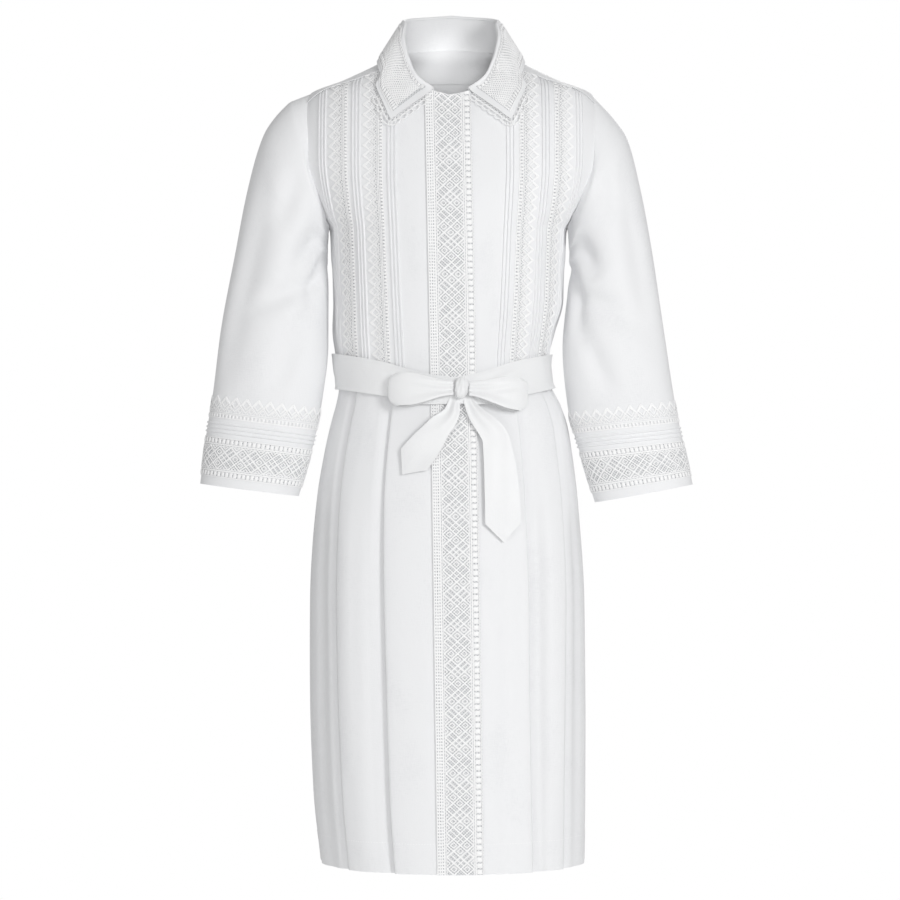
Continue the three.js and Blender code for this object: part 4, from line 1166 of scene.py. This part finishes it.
def make_cuff(name, side, turns):
    def net_spot(turn, rise):
        return sleeve_skin(name, turn, rise, np.full(len(turn), SEAM + NET))

    # The net under the cuff lace carries painted shade: its grey stands in for the shadow seen through the
    # lace.
    rises = np.linspace(CUFF["hem"], CUFF["band_top"], 12)
    net = cloth(f"net_cuff_{name}", turns[::-side], rises, net_spot, NET, closed=True)
    finish_piece(net, NET_PAINTED_SHADE)
    girth = SLEEVE_REPEATS * LACE_REPEAT
    place = cuff_place(name, SEAM + NET + LACE_OVER_NET)
    middle = (CUFF["hem"] + CUFF["band_top"]) / 2
    bands = (
        (broad_repeat, "broad", BROAD_REPEAT, middle, 0.86),
        (cuff_blocks, "lower", PITCH["cuff"], CUFF["hem"] + 4.7, 1),
        (cuff_blocks, "upper", PITCH["cuff"], CUFF["band_top"] - 4.7, 1),
    )
    for repeat, band, pitch, rise, scale in bands:
        count = int(round(girth / pitch))
        fitted = (scale, girth / (count * pitch))
        lace = f"lace_cuff_{band}_{name}"
        piece = run_of(repeat, lace, pitch, count, shifted(place, rise), scale=fitted)
        finish_piece(piece, THREAD, [f"cuff_band_{name}"] if band == "broad" else ())
    fitted = ((CUFF["lace_to"] - CUFF["lace_from"]) / LACE_WIDTH, 1)
    place = shifted(cuff_place(name, FRONT_LACE_LIFT), CUFF["lace_from"])
    lace = f"lace_cuff_zigzag_{name}"
    zigzag = run_of(zigzag_repeat, lace, LACE_REPEAT, SLEEVE_REPEATS, place, scale=fitted)
    nodes = [f"cuff_lace_front_{name}", f"cuff_lace_back_{name}"]
    finish_piece(zigzag, THREAD, nodes)


# Skirt: the folds of its pleats on each side, from the waist to the hem
PLEATS = table(
    "side waist hem panel",
    (-1, 27, 22.5, "front"),
    (-1, 53.5, 48.5, "front"),
    (-1, 84, 78, "front"),
    (1, 33, 33, "front"),
    (1, 59, 52.6, "front"),
    (1, 84, 78, "front"),
    (-1, 108, 106, "back"),
    (-1, 134, 134, "back"),
    (-1, 160, 162, "back"),
    (1, 108, 106, "back"),
    (1, 134, 134, "back"),
    (1, 160, 162, "back"),
)
SIDE_SEAM = {"waist": 95.5, "hem": 92}
PLEAT_UNDERLAY = 18
PLEAT_RISE = 18
PLEAT_LAYER = {"waist": 2.6, "hem": 4}
PLEAT_WANDER = 1.4
LONG_PARTS = 8


def skirt_share(z):
    return (WAIST_Z - z) / (WAIST_Z - HEM_Z)


def pleat_line(pleat, z):
    """One pleat at one height: distances from the centre front, and depths of the cloth's middle."""
    share = skirt_share(z)
    wander = PLEAT_WANDER * math.sin(0.011 * z + pleat["waist"]) * share
    fold = float(arc_at(mix(pleat["waist"], pleat["hem"], share), z)) + wander
    layer = mix(PLEAT_LAYER["waist"], PLEAT_LAYER["hem"], share)
    under = fold - PLEAT_UNDERLAY
    line = [(under - 3, 0), (mix(under, fold, 0.4), 0), (fold - 4, 0), (fold - 1, 0.05 * layer)]
    line += [(fold, 0.2 * layer), (fold + 0.3, 0.5 * layer), (fold, 0.8 * layer), (fold - 1, layer)]
    line += [(mix(under, fold, 0.5), layer), (under + 1, layer), (under, 1.2 * layer)]
    line += [(under - 0.3, 1.5 * layer), (under, 1.8 * layer), (under + 1, 2 * layer)]
    line += [(mix(under, fold, 0.5), 2 * layer), (fold + 2, 1.95 * layer), (fold + 6, 1.8 * layer)]
    line += [(fold + PLEAT_RISE * 0.62, 1.2 * layer), (fold + PLEAT_RISE, 0.5 * layer)]
    return [(arc, depth, pleat["side"]) for arc, depth in line]


def densified(stations, long_after):
    """Adds even points along the long plain stretches that start at the given stations."""
    line = []
    for k, (arc, depth, side) in enumerate(stations):
        line.append((arc, depth, side))
        if k in long_after:
            next_arc, next_depth, _ = stations[k + 1]
            for part in range(1, LONG_PARTS):
                t = part / LONG_PARTS
                line.append((mix(arc, next_arc, t), mix(depth, next_depth, smooth(0, 1, t)), side))
    return line


def side_seam_arc(z):
    return float(arc_at(mix(SIDE_SEAM["waist"], SIDE_SEAM["hem"], skirt_share(z)), z))


def panel_lines(z, panel, side):
    pleats = [p for p in PLEATS if p["side"] == side and p["panel"] == panel]
    return [pleat_line(pleat, z) for pleat in pleats]


def front_stations(z, name):
    side = SIDES[name]
    centre = side * float(placket_centre(z))
    start = LAP[name]
    stations = [(start + centre, 0, side)]
    if side > 0:
        stations += [(start / 2 + centre, 0, side), (centre, 0, side), (PLACKET_WIDTH / 2 + centre, 0, side)]
    long_after = [len(stations) - 1]
    for line in panel_lines(z, "front", side):
        stations += line
        long_after.append(len(stations) - 1)
    stations.append((side_seam_arc(z) - SEAM / 2, 0, side))
    return densified(stations, long_after)


def back_stations(z):
    halves = {}
    for side in (1, -1):
        stations = [(side_seam_arc(z) + SEAM, 0, side)]
        long_after = [0]
        for line in panel_lines(z, "back", side):
            stations += line
            long_after.append(len(stations) - 1)
        stations.append((float(arc_at(179.9, z)), 0, side))
        halves[side] = densified(stations, long_after)
    return halves[1] + halves[-1][::-1][1:]


SKIRT_HEIGHTS = np.append(np.linspace(WAIST_Z - SEAM / 2, -1100, 62), np.linspace(-1106, HEM_Z, 8))


def skirt_sheet(name, stations_at, reverse):
    stations = np.array([stations_at(float(z)) for z in SKIRT_HEIGHTS])

    def spot(index, row):
        arc, depth, side = stations[row.astype(int), index.astype(int)].T
        z = SKIRT_HEIGHTS[row.astype(int)]
        hem_step = 0.5 * (1 - smooth(HEM_Z + HEM_DEPTH - 2, HEM_Z + HEM_DEPTH + 1, z))
        return skin(side * angle_at(arc, z), z, hem_step - CLOTH / 2 - depth)

    columns = np.arange(stations.shape[1])
    rows = np.arange(len(SKIRT_HEIGHTS))[::-1]
    return cloth(name, columns[::-1] if reverse else columns, rows, spot, both_ways=True)


def make_skirt():
    for name, side in SIDES.items():
        stations = partial(front_stations, name=name)
        panel = skirt_sheet(f"cloth_skirt_front_{name}", stations, side < 0)
        finish_piece(panel, COTTON, [f"skirt_front_{name}"])
        hem_stitches(f"stitches_hem_front_{name}", stations)
    panel = skirt_sheet("cloth_skirt_back", back_stations, False)
    finish_piece(panel, COTTON, ["skirt_back"])
    hem_stitches("stitches_hem_back", back_stations)


def hem_stitches(name, stations_at):
    """Sewing along the top of the hem, on the outside of the pleats."""
    z = HEM_Z + HEM_DEPTH
    arc, depth, side = np.array(stations_at(float(z))).T
    line = skin(side * angle_at(arc, np.full(len(arc), z)), np.full(len(arc), z), -CLOTH / 2 - depth)
    lengths = lengths_along(line)

    def place(across, along, out):
        here_arc = np.interp(along, lengths, arc)
        here_depth = np.interp(along, lengths, depth)
        here_side = np.where(np.interp(along, lengths, side) > 0, 1, -1)
        heights = z + across
        lift = 0.35 - here_depth + out
        return skin(here_side * angle_at(here_arc, heights), heights, lift)

    stitches(name, float(lengths[-1]), place)


# Collar, from its front end to the back of the neck: fold and edge
COLLAR = table(
    "share fold_angle height edge_angle edge_z",
    (0, 5.5, 5, 20, -90),
    (0.2, 22, 22, 26, -55),
    (0.4, 43, 34, 34, -28),
    (0.6, 65, 42, 56, -7),
    (0.75, 90, 45, 90, 4),
    (0.88, 135, 46, 135, 7),
    (1, 180, 46, 180, 16),
)
collar_fold = track(COLLAR, "share", "fold_angle")
collar_height = track(COLLAR, "share", "height")
collar_edge_angle = track(COLLAR, "share", "edge_angle")
collar_edge_z = track(COLLAR, "share", "edge_z")
STAND_LEAN = 0.1
LEAF_LIFT = 5.6
LEAF_OUT = 4.6
TRIM_LIFT = 4.1
LEAF_FOLD = table("up out", (-2, -2.2), (1.2, -0.9), (1.3, 2.6))
# Where, on the way to the back, the leaf stops following the stand and slopes straight to its edge
LEAF_SLOPE = {"from": 0.12, "to": 0.5}
LEAF_SHARES = (0.12, 0.3, 0.52, 0.76, 1)
LEAF_ROWS = len(LEAF_FOLD) + len(LEAF_SHARES)


def stand_point(angle, up, out):
    base = body_point(angle, neck_height(angle))
    away = unit(base * np.array([1, 1.4, 0]))
    return base + away * (out - STAND_LEAN * up)[..., None] + points_of(0 * up, 0 * up, up)


def leaf_rows(around):
    """The lines of the leaf from its fold to its edge, at places round the collar from 0 to 2."""
    around = np.clip(around, 0, 2)
    share, side = np.where(around <= 1, around, 2 - around), np.where(around <= 1, 1, -1)
    angle, height = collar_fold(share), collar_height(share)
    edge_angle, edge_z, neck = collar_edge_angle(share), collar_edge_z(share), neck_height(angle)

    def on_skin(t):
        return skin(side * mix(angle, edge_angle, t), mix(neck, edge_z, t), LEAF_LIFT)

    reach = np.linalg.norm(on_skin(0.0) - on_skin(1.0), axis=-1)
    rows = [
        stand_point(side * angle, height + row["up"], np.full(len(angle), float(row["out"])))
        for row in LEAF_FOLD
    ]
    slope = smooth(LEAF_SLOPE["from"], LEAF_SLOPE["to"], share)[..., None]
    for along in LEAF_SHARES:
        down = along * (height + reach)
        standing = stand_point(side * angle, height - down + 1, np.full(len(angle), LEAF_OUT))
        lying = on_skin(np.clip((down - height) / reach, 0, 1))
        bent = np.where((down < height)[..., None], standing, lying)
        rows.append(mix(bent, mix(rows[2], on_skin(1.0), along), slope))
    return np.stack(rows)


def leaf_spot(around, row):
    return curve_through(leaf_rows(around), row)


def leaf_skin(around, row, out):
    across = leaf_spot(around + 0.004, row) - leaf_spot(around - 0.004, row)
    last = LEAF_ROWS - 1
    along = leaf_spot(around, np.minimum(row + 0.05, last)) - leaf_spot(around, np.maximum(row - 0.05, 0))
    return leaf_spot(around, row) + unit(np.cross(along, across)) * out[..., None]


def make_collar():
    def stand_spot(around, share):
        near = np.where(around <= 1, around, 2 - around)
        angle = np.where(around <= 1, 1, -1) * collar_fold(near)
        up = mix(-2, collar_height(near), share)
        return stand_point(angle, up, np.zeros(len(up)))

    stand = cloth("cloth_collar_stand", np.linspace(0, 2, 121)[::-1], np.linspace(1, 0, 12), stand_spot)
    finish_piece(stand, COTTON, ["collar_stand"])
    rows = np.linspace(0, LEAF_ROWS - 1, 37)
    leaf = cloth("cloth_collar_leaf", np.linspace(2, 0, 161), rows, leaf_spot)
    finish_piece(leaf, COTTON, ["collar_leaf"])
    make_collar_lace()
    for name, side in SIDES.items():
        trim = f"lace_collar_trim_{name}"
        scallops = run_of(scallop_repeat, trim, LACE_REPEAT, TRIM_REPEATS, trim_place(side))
        finish_piece(scallops, THREAD, [f"collar_trim_{name}"])


# Lines of the leaf, counted in its rows from the fold to the edge
LEAF_LINES = {
    "fold_blocks": 3.05,
    "dots_from": 3.45,
    "middle": 4.5,
    "dots_to": 5.9,
    "edge_blocks": 6.25,
}
LEAF_NET = {"from": 2.85, "to": 6.45, "end": 0.035}
MM_PER_LEAF_ROW = 13.5


def make_collar_lace():
    ends = LEAF_NET["end"]
    fine = np.linspace(ends, 2 - ends, 400)
    lengths = lengths_along(leaf_spot(fine, np.full(400, LEAF_LINES["middle"])))
    girth = float(lengths[-1])

    def around_of(along):
        return np.interp(along, lengths, fine)

    # The net under the collar lace carries painted shade: its grey stands in for the shadow seen through the
    # lace.
    net = cloth(
        "net_collar",
        np.linspace(2 - ends, ends, 121),
        np.linspace(LEAF_NET["from"], LEAF_NET["to"], 22),
        lambda around, row: leaf_skin(around, row, np.full(len(row), 0.25 + NET)),
        NET,
    )
    finish_piece(net, NET_PAINTED_SHADE)

    def dots_place(across, along, out):
        share = across / (DOT_COLUMNS * PITCH["dots"]) + 0.5
        row = mix(LEAF_LINES["dots_from"], LEAF_LINES["dots_to"], share)
        return leaf_skin(around_of(along), row, 0.8 + out)

    count = int(girth / PITCH["dots"])
    pieces = [run_of(collar_dots, "lace_collar_dots", PITCH["dots"], count, dots_place)]
    for name, line in (("fold", LEAF_LINES["fold_blocks"]), ("edge", LEAF_LINES["edge_blocks"])):

        def block_place(across, along, out, line=line):
            return leaf_skin(around_of(along), line + across / MM_PER_LEAF_ROW, 0.7 + out)

        count = int(girth / PITCH["collar"])
        pieces.append(run_of(collar_blocks, f"lace_collar_{name}", PITCH["collar"], count, block_place))
    for piece in pieces:
        finish_piece(piece, THREAD)


# The scallops run along the collar's front edge and round its point
TRIM_START = {"angle": 7.2, "z": -52}
TRIM_FRONT_REPEATS = 6
TRIM_OUTER_REPEATS = 3
TRIM_REPEATS = TRIM_FRONT_REPEATS + TRIM_OUTER_REPEATS
TRIM_SAMPLES = 12


def trim_frames(side):
    """Places, ways out and normals along the trim, at even counts of repeats."""
    tip_angle, tip_z = float(collar_edge_angle(0.0)), float(collar_edge_z(0.0))
    t = np.linspace(0, 1, 40)
    front = np.stack([mix(TRIM_START["angle"], tip_angle, t), mix(TRIM_START["z"], tip_z, t)])
    share = np.linspace(0, 0.4, 40)
    outer = np.stack([collar_edge_angle(share), collar_edge_z(share)])
    lines = []
    runs = ((front, TRIM_FRONT_REPEATS, None), (outer, TRIM_OUTER_REPEATS, LACE_REPEAT))
    for line, repeats, pitch in runs:
        spots = skin(side * line[0], line[1], TRIM_LIFT)
        lengths = lengths_along(spots)
        step = pitch or lengths[-1] / repeats
        at = np.linspace(0, repeats * step, repeats * TRIM_SAMPLES + 1)
        angle, z = np.interp(at, lengths, line[0]), np.interp(at, lengths, line[1])
        lines.append((angle, z))
    angle = np.append(lines[0][0][:-1], lines[1][0])
    z = np.append(lines[0][1][:-1], lines[1][1])
    spots = skin(side * angle, z, TRIM_LIFT)
    normals = body_normal(side * angle, z)
    ways = np.cross(unit(np.gradient(spots, axis=0)), normals) * side
    corner = TRIM_FRONT_REPEATS * TRIM_SAMPLES
    before, after = ways[corner - TRIM_SAMPLES], ways[corner + TRIM_SAMPLES]
    for k in range(-TRIM_SAMPLES, TRIM_SAMPLES + 1):
        ways[corner + k] = mix(before, after, (k + TRIM_SAMPLES) / (2 * TRIM_SAMPLES))
    return spots, unit(ways), normals


def trim_place(side):
    frames = trim_frames(side)

    def place(across, along, out):
        at = np.clip(along / LACE_REPEAT, 0, TRIM_REPEATS) * TRIM_SAMPLES
        index = np.arange(TRIM_REPEATS * TRIM_SAMPLES + 1)
        spot, way, normal = (
            np.stack([np.interp(at, index, part[:, k]) for k in range(3)], axis=-1) for part in frames
        )
        lift = 0.5 + out - 0.3 * across / TRIM_WIDTH
        return spot + way * across[:, None] + normal * lift[:, None]

    return place


# Sash and bow
SASH = table(
    "angle top bottom",
    (0, -454, -492),
    (12, -448, -493),
    (35, -431, -481),
    (62, -421, -473),
    (90, -417, -469),
    (180, -417, -469),
)
sash_top, sash_bottom = track(SASH, "angle", "top"), track(SASH, "angle", "bottom")
SASH_LIFT = {"round": 3.8, "over_placket": 1.2, "from": 17, "to": 26, "wall": 1.4}
SASH_FOLD_SPAN = 60
FRONT_MM_PER_DEGREE = 4.5
KNOT = {"angle": 4, "x": 13.5, "z": -470, "tilt": 8}
KNOT_HALF = {"width": 10, "depth": 9, "height": 16.5}
SASH_FOLDS = table(
    "from_a from_b to_a to_b width depth",
    (8, 0.5, 40, 0.28, 6, 1.5),
    (8, 0.62, 34, 0.74, 5, 1.3),
    (0, 0.45, -30, 0.3, 6, 1.5),
    (-1, 0.6, -26, 0.78, 5, 1.2),
    (60, 0.2, 110, 0.42, 5, 0.8),
    (-64, 0.75, -118, 0.55, 5, 0.8),
    (140, 0.3, 178, 0.4, 5, 0.8),
)


def sash_lift(angle):
    share = 1 - smooth(SASH_LIFT["from"], SASH_LIFT["to"], np.abs(angle))
    return SASH_LIFT["round"] + SASH_LIFT["over_placket"] * share + SASH_LIFT["wall"]


def sash_spot(angle, share):
    off = np.abs(angle - KNOT["angle"])
    z = mix(sash_top(off), sash_bottom(off), share)
    span = SASH_FOLD_SPAN
    rows = [{**row, "from_b": row["from_b"] * span, "to_b": row["to_b"] * span} for row in SASH_FOLDS]
    folds = troughs(rows, angle, share * span, MM_PER_DEGREE["skirt"])
    hem = 0.35 * (np.abs(share - 0.5) > 0.44)
    return skin(angle, z, sash_lift(angle) + hem - 0.6 * folds)


def sash_face(x, z, out):
    """A point in front of the sash, which the bow lies on."""
    angle = np.zeros(np.shape(x))
    for _ in range(12):
        angle = angle + (x - body_point(angle, z)[..., 0]) / FRONT_MM_PER_DEGREE
    return skin(angle, z, sash_lift(angle) + out)


LOOP = table(
    "share off",
    (0, 9.5),
    (0.3, 13.5),
    (0.7, 14),
    (0.9, 12.5),
    (1, 8.6),
    (0.92, 4),
    (0.7, 2.2),
    (0.35, 2.1),
    (0.06, 3.4),
)
LOOP_NARROW = 11
LOOPS = table(
    "side knot_off end z_at_knot z_at_end half_width",
    ("right", -10.6, -85, -470, -472, 25),
    ("left", 10.6, 103, -471, -481, 24.5),
)
TAILS = {
    "right": table(
        "share x z half off",
        (0, 5.5, -481, 6, 0.7),
        (0.15, 1, -505, 11, 4),
        (0.4, -18, -529, 17, 8),
        (0.7, -38, -555, 22, 8),
        (1, -51, -571, 23.5, 6),
    ),
    "left": table(
        "share x z half off",
        (0, 21.5, -481, 6, 0.7),
        (0.15, 33, -505, 11, 4),
        (0.4, 62, -545, 19, 8),
        (0.7, 70, -610, 24, 7),
        (1, 72, -660, 25, 6),
    ),
}
LOOP_ROUNDED = 0.13
TAIL_POINT = 27
TAIL_WAVE = 1.3
TAIL_BELOW_SASH = {"nearer": 6, "from": -560, "to": -500}


def loop_spot(loop):
    def spot(at, across):
        share = curve_through(column(LOOP, "share"), at)
        off = curve_through(column(LOOP, "off"), at)
        half = mix(LOOP_NARROW, loop["half_width"], smooth(0, 0.75, share))
        z = mix(loop["z_at_knot"], loop["z_at_end"], share) + half * across
        outer = 1 - smooth(3.2, 4.6, at)
        creases = np.sin(6.5 * across + 1.2 * share) * (1 - share) ** 1.4 * 1.7 * outer
        dimple = -2.2 * np.exp(-(((share - 0.5) / 0.28) ** 2) - ((across + 0.15 - 0.5 * share) / 0.22) ** 2)
        lift = off + 1.2 * across**2 + creases + dimple * outer
        rounded = share * (1 - LOOP_ROUNDED * across**4 * smooth(0.3, 1, share))
        x = mix(KNOT["x"] + loop["knot_off"], loop["end"], rounded)
        return sash_face(x, z, np.maximum(lift, 0.5))

    return spot


def tail_spot(rows):
    x, z, half, off = (track(rows, "share", name) for name in ("x", "z", "half", "off"))

    def spot(across, share):
        ahead, behind = np.minimum(share + 0.03, 1), np.maximum(share - 0.03, 0)
        way = unit(np.stack([x(ahead) - x(behind), z(ahead) - z(behind)], axis=-1))
        reach = share**3 * TAIL_POINT * (1 - np.abs(across))
        aside = across * half(share)
        px = x(share) - way[..., 1] * aside + way[..., 0] * reach
        pz = z(share) + way[..., 0] * aside + way[..., 1] * reach
        below = 1 - smooth(TAIL_BELOW_SASH["from"], TAIL_BELOW_SASH["to"], pz)
        wave = TAIL_WAVE * share * np.sin(2.4 * across + 5 * share)
        crease = 2.2 * np.sin(4.2 * across + 0.6) * (1 - smooth(0, 0.55, share)) * smooth(0, 0.12, share)
        return sash_face(px, pz, off(share) - TAIL_BELOW_SASH["nearer"] * below + wave + crease)

    return spot


def make_sash_and_bow():
    angles, shares = np.linspace(-180, 180, 241), np.linspace(1, 0, 25)
    sash = cloth("sash_ribbon", angles, shares, sash_spot, closed=True)
    finish_piece(sash, SATIN, ["sash"])
    for row in LOOPS:
        name = row["side"]
        at = np.linspace(0, len(LOOP) - 1, 49)[:: SIDES[name]]
        across = np.linspace(-1, 1, 29)
        loop = cloth(f"bow_loop_ribbon_{name}", at, across, loop_spot(row), RIBBON)
        finish_piece(loop, SATIN, [f"bow_loop_{name}"])
        across, along = np.linspace(-1, 1, 25), np.linspace(1, 0, 61)
        tail = cloth(f"bow_tail_ribbon_{name}", across, along, tail_spot(TAILS[name]), RIBBON)
        finish_piece(tail, SATIN, [f"bow_tail_{name}"])
    make_knot()


def make_knot():
    """The knot: a ribbon wound round itself, with folds that run up and across it."""
    deselect()
    bpy.ops.mesh.primitive_uv_sphere_add(segments=48, ring_count=32, radius=1, location=(0, 0, 0))
    knot = bpy.context.object
    knot.name = knot.data.name = "bow_knot_ribbon"
    flat = read_points(knot)
    turn, rise = np.arctan2(flat[:, 0], -flat[:, 1]), flat[:, 2]
    folds = 1 + 0.06 * np.sin(5 * turn + 2.2 * rise) + 0.035 * np.sin(11 * turn - 3 * rise)
    pinch = 1 - 0.1 * np.exp(-((rise / 0.25) ** 2))
    sizes = np.array([KNOT_HALF["width"], KNOT_HALF["depth"], KNOT_HALF["height"]])
    shaped = flat * sizes * np.stack([folds * pinch, folds * pinch, np.full(len(turn), 0.97)], axis=-1)
    at = (np.array([float(KNOT[key])]) for key in ("x", "z"))
    centre = sash_face(*at, SEAM + KNOT_HALF["depth"])[0]
    tilt = math.radians(KNOT["tilt"])
    x = shaped[:, 0] * math.cos(tilt) + shaped[:, 2] * math.sin(tilt)
    z = shaped[:, 2] * math.cos(tilt) - shaped[:, 0] * math.sin(tilt)
    write_points(knot, (points_of(x, shaped[:, 1], z) + centre) * MM)
    choose(knot)
    bpy.ops.object.shade_smooth()
    finish_piece(knot, SATIN, ["bow_knot"])


# The camera of the photograph: level, four metres in front
CAMERA = {"x": -1.45, "distance": 4000, "z": -556.8, "mm_across": 1305, "sensor": 36}


def make_camera():
    bpy.ops.object.camera_add(
        location=(CAMERA["x"] * MM, -CAMERA["distance"] * MM, CAMERA["z"] * MM),
        rotation=(math.pi / 2, 0, 0),
    )
    camera = bpy.context.object
    camera.data.sensor_width = CAMERA["sensor"]
    camera.data.lens = CAMERA["sensor"] * CAMERA["distance"] / CAMERA["mm_across"]
    bpy.context.scene.camera = camera


def soft_light(name, place, aim, size, watts):
    bpy.ops.object.light_add(type="AREA", location=place)
    lamp = bpy.context.object
    lamp.name = name
    lamp.data.shape = "DISK"
    lamp.data.size = size
    lamp.data.energy = watts
    way = np.array(aim) - np.array(place)
    tip = math.acos(-way[2] / np.linalg.norm(way))
    lamp.rotation_euler = (tip, 0, math.atan2(way[1], way[0]) - math.pi / 2)


NECK_BEAM = {"place": (0, -3.7, -0.1), "tip": 91.6, "watts": 240, "cone": 2.0, "size": 0.02}


def neck_light():
    """A narrow beam into the open neck, which the collar shades."""
    tip = (math.radians(NECK_BEAM["tip"]), 0, 0)
    bpy.ops.object.light_add(type="SPOT", location=NECK_BEAM["place"], rotation=tip)
    lamp = bpy.context.object
    lamp.name = "neck_light"
    lamp.data.energy = NECK_BEAM["watts"]
    lamp.data.spot_size = math.radians(NECK_BEAM["cone"])
    lamp.data.spot_blend = 1.0
    lamp.data.shadow_soft_size = NECK_BEAM["size"]


WORLD_STRENGTH = {"as_light": 0.42, "as_seen": 1.0}
FLOOR_RADIUS = 1.4


def add_background(nodes_of, strength):
    background = nodes_of.new("ShaderNodeBackground")
    background.inputs["Color"].default_value = (1, 1, 1, 1)
    background.inputs["Strength"].default_value = strength
    return background


def make_world():
    """White all round: softer as a light than as the background that the camera sees."""
    world = bpy.data.worlds.new("white_studio")
    bpy.context.scene.world = world
    world.use_nodes = True
    nodes, links = world.node_tree.nodes, world.node_tree.links
    nodes.remove(nodes["Background"])
    soft = add_background(nodes, WORLD_STRENGTH["as_light"])
    seen = add_background(nodes, WORLD_STRENGTH["as_seen"])
    both = nodes.new("ShaderNodeMixShader")
    links.new(nodes.new("ShaderNodeLightPath").outputs["Is Camera Ray"], both.inputs["Fac"])
    links.new(soft.outputs["Background"], both.inputs[1])
    links.new(seen.outputs["Background"], both.inputs[2])
    links.new(both.outputs["Shader"], nodes["World Output"].inputs["Surface"])
    bpy.context.scene.view_settings.view_transform = "Standard"


def make_lights():
    soft_light("key_light", place=(1.9, -2.9, 0.3), aim=(0, 0, -0.6), size=1.1, watts=46)
    soft_light("fill_light", place=(-2.4, -2.6, -0.7), aim=(0, 0, -0.6), size=1.8, watts=13)
    soft_light("front_light", place=(0.1, -3.6, -0.4), aim=(0, 0, -0.4), size=0.6, watts=22)
    neck_light()
    soft_light("back_light", place=(0.4, 3.0, 1.0), aim=(0, 0, -0.5), size=1.8, watts=45)


def make_floor():
    middle = (0, 0, FLOOR_Z * MM)
    bpy.ops.mesh.primitive_circle_add(vertices=96, radius=FLOOR_RADIUS, fill_type="NGON", location=middle)
    floor = bpy.context.object
    floor.name = "studio_floor"
    material, shader = new_material("pale_floor", (0.9, 0.9, 0.9), 0.9, 0)
    grain = add_node(material, "ShaderNodeTexCoord").outputs["Object"]
    tone = stretched_noise(material, grain, (3, 3, 3), 2).outputs["Fac"]
    shade_with(material, shader, tone, (0, (0.88,) * 3), (1, (0.92,) * 3))
    floor.data.materials.append(material)


make_camera()
make_fronts()
make_back()
make_yoke()
make_facing()
make_placket()
make_sleeves()
make_skirt()
make_collar()
make_sash_and_bow()
for repeat in REPEATS:
    bpy.data.objects.remove(repeat)
make_world()
make_lights()
make_floor()
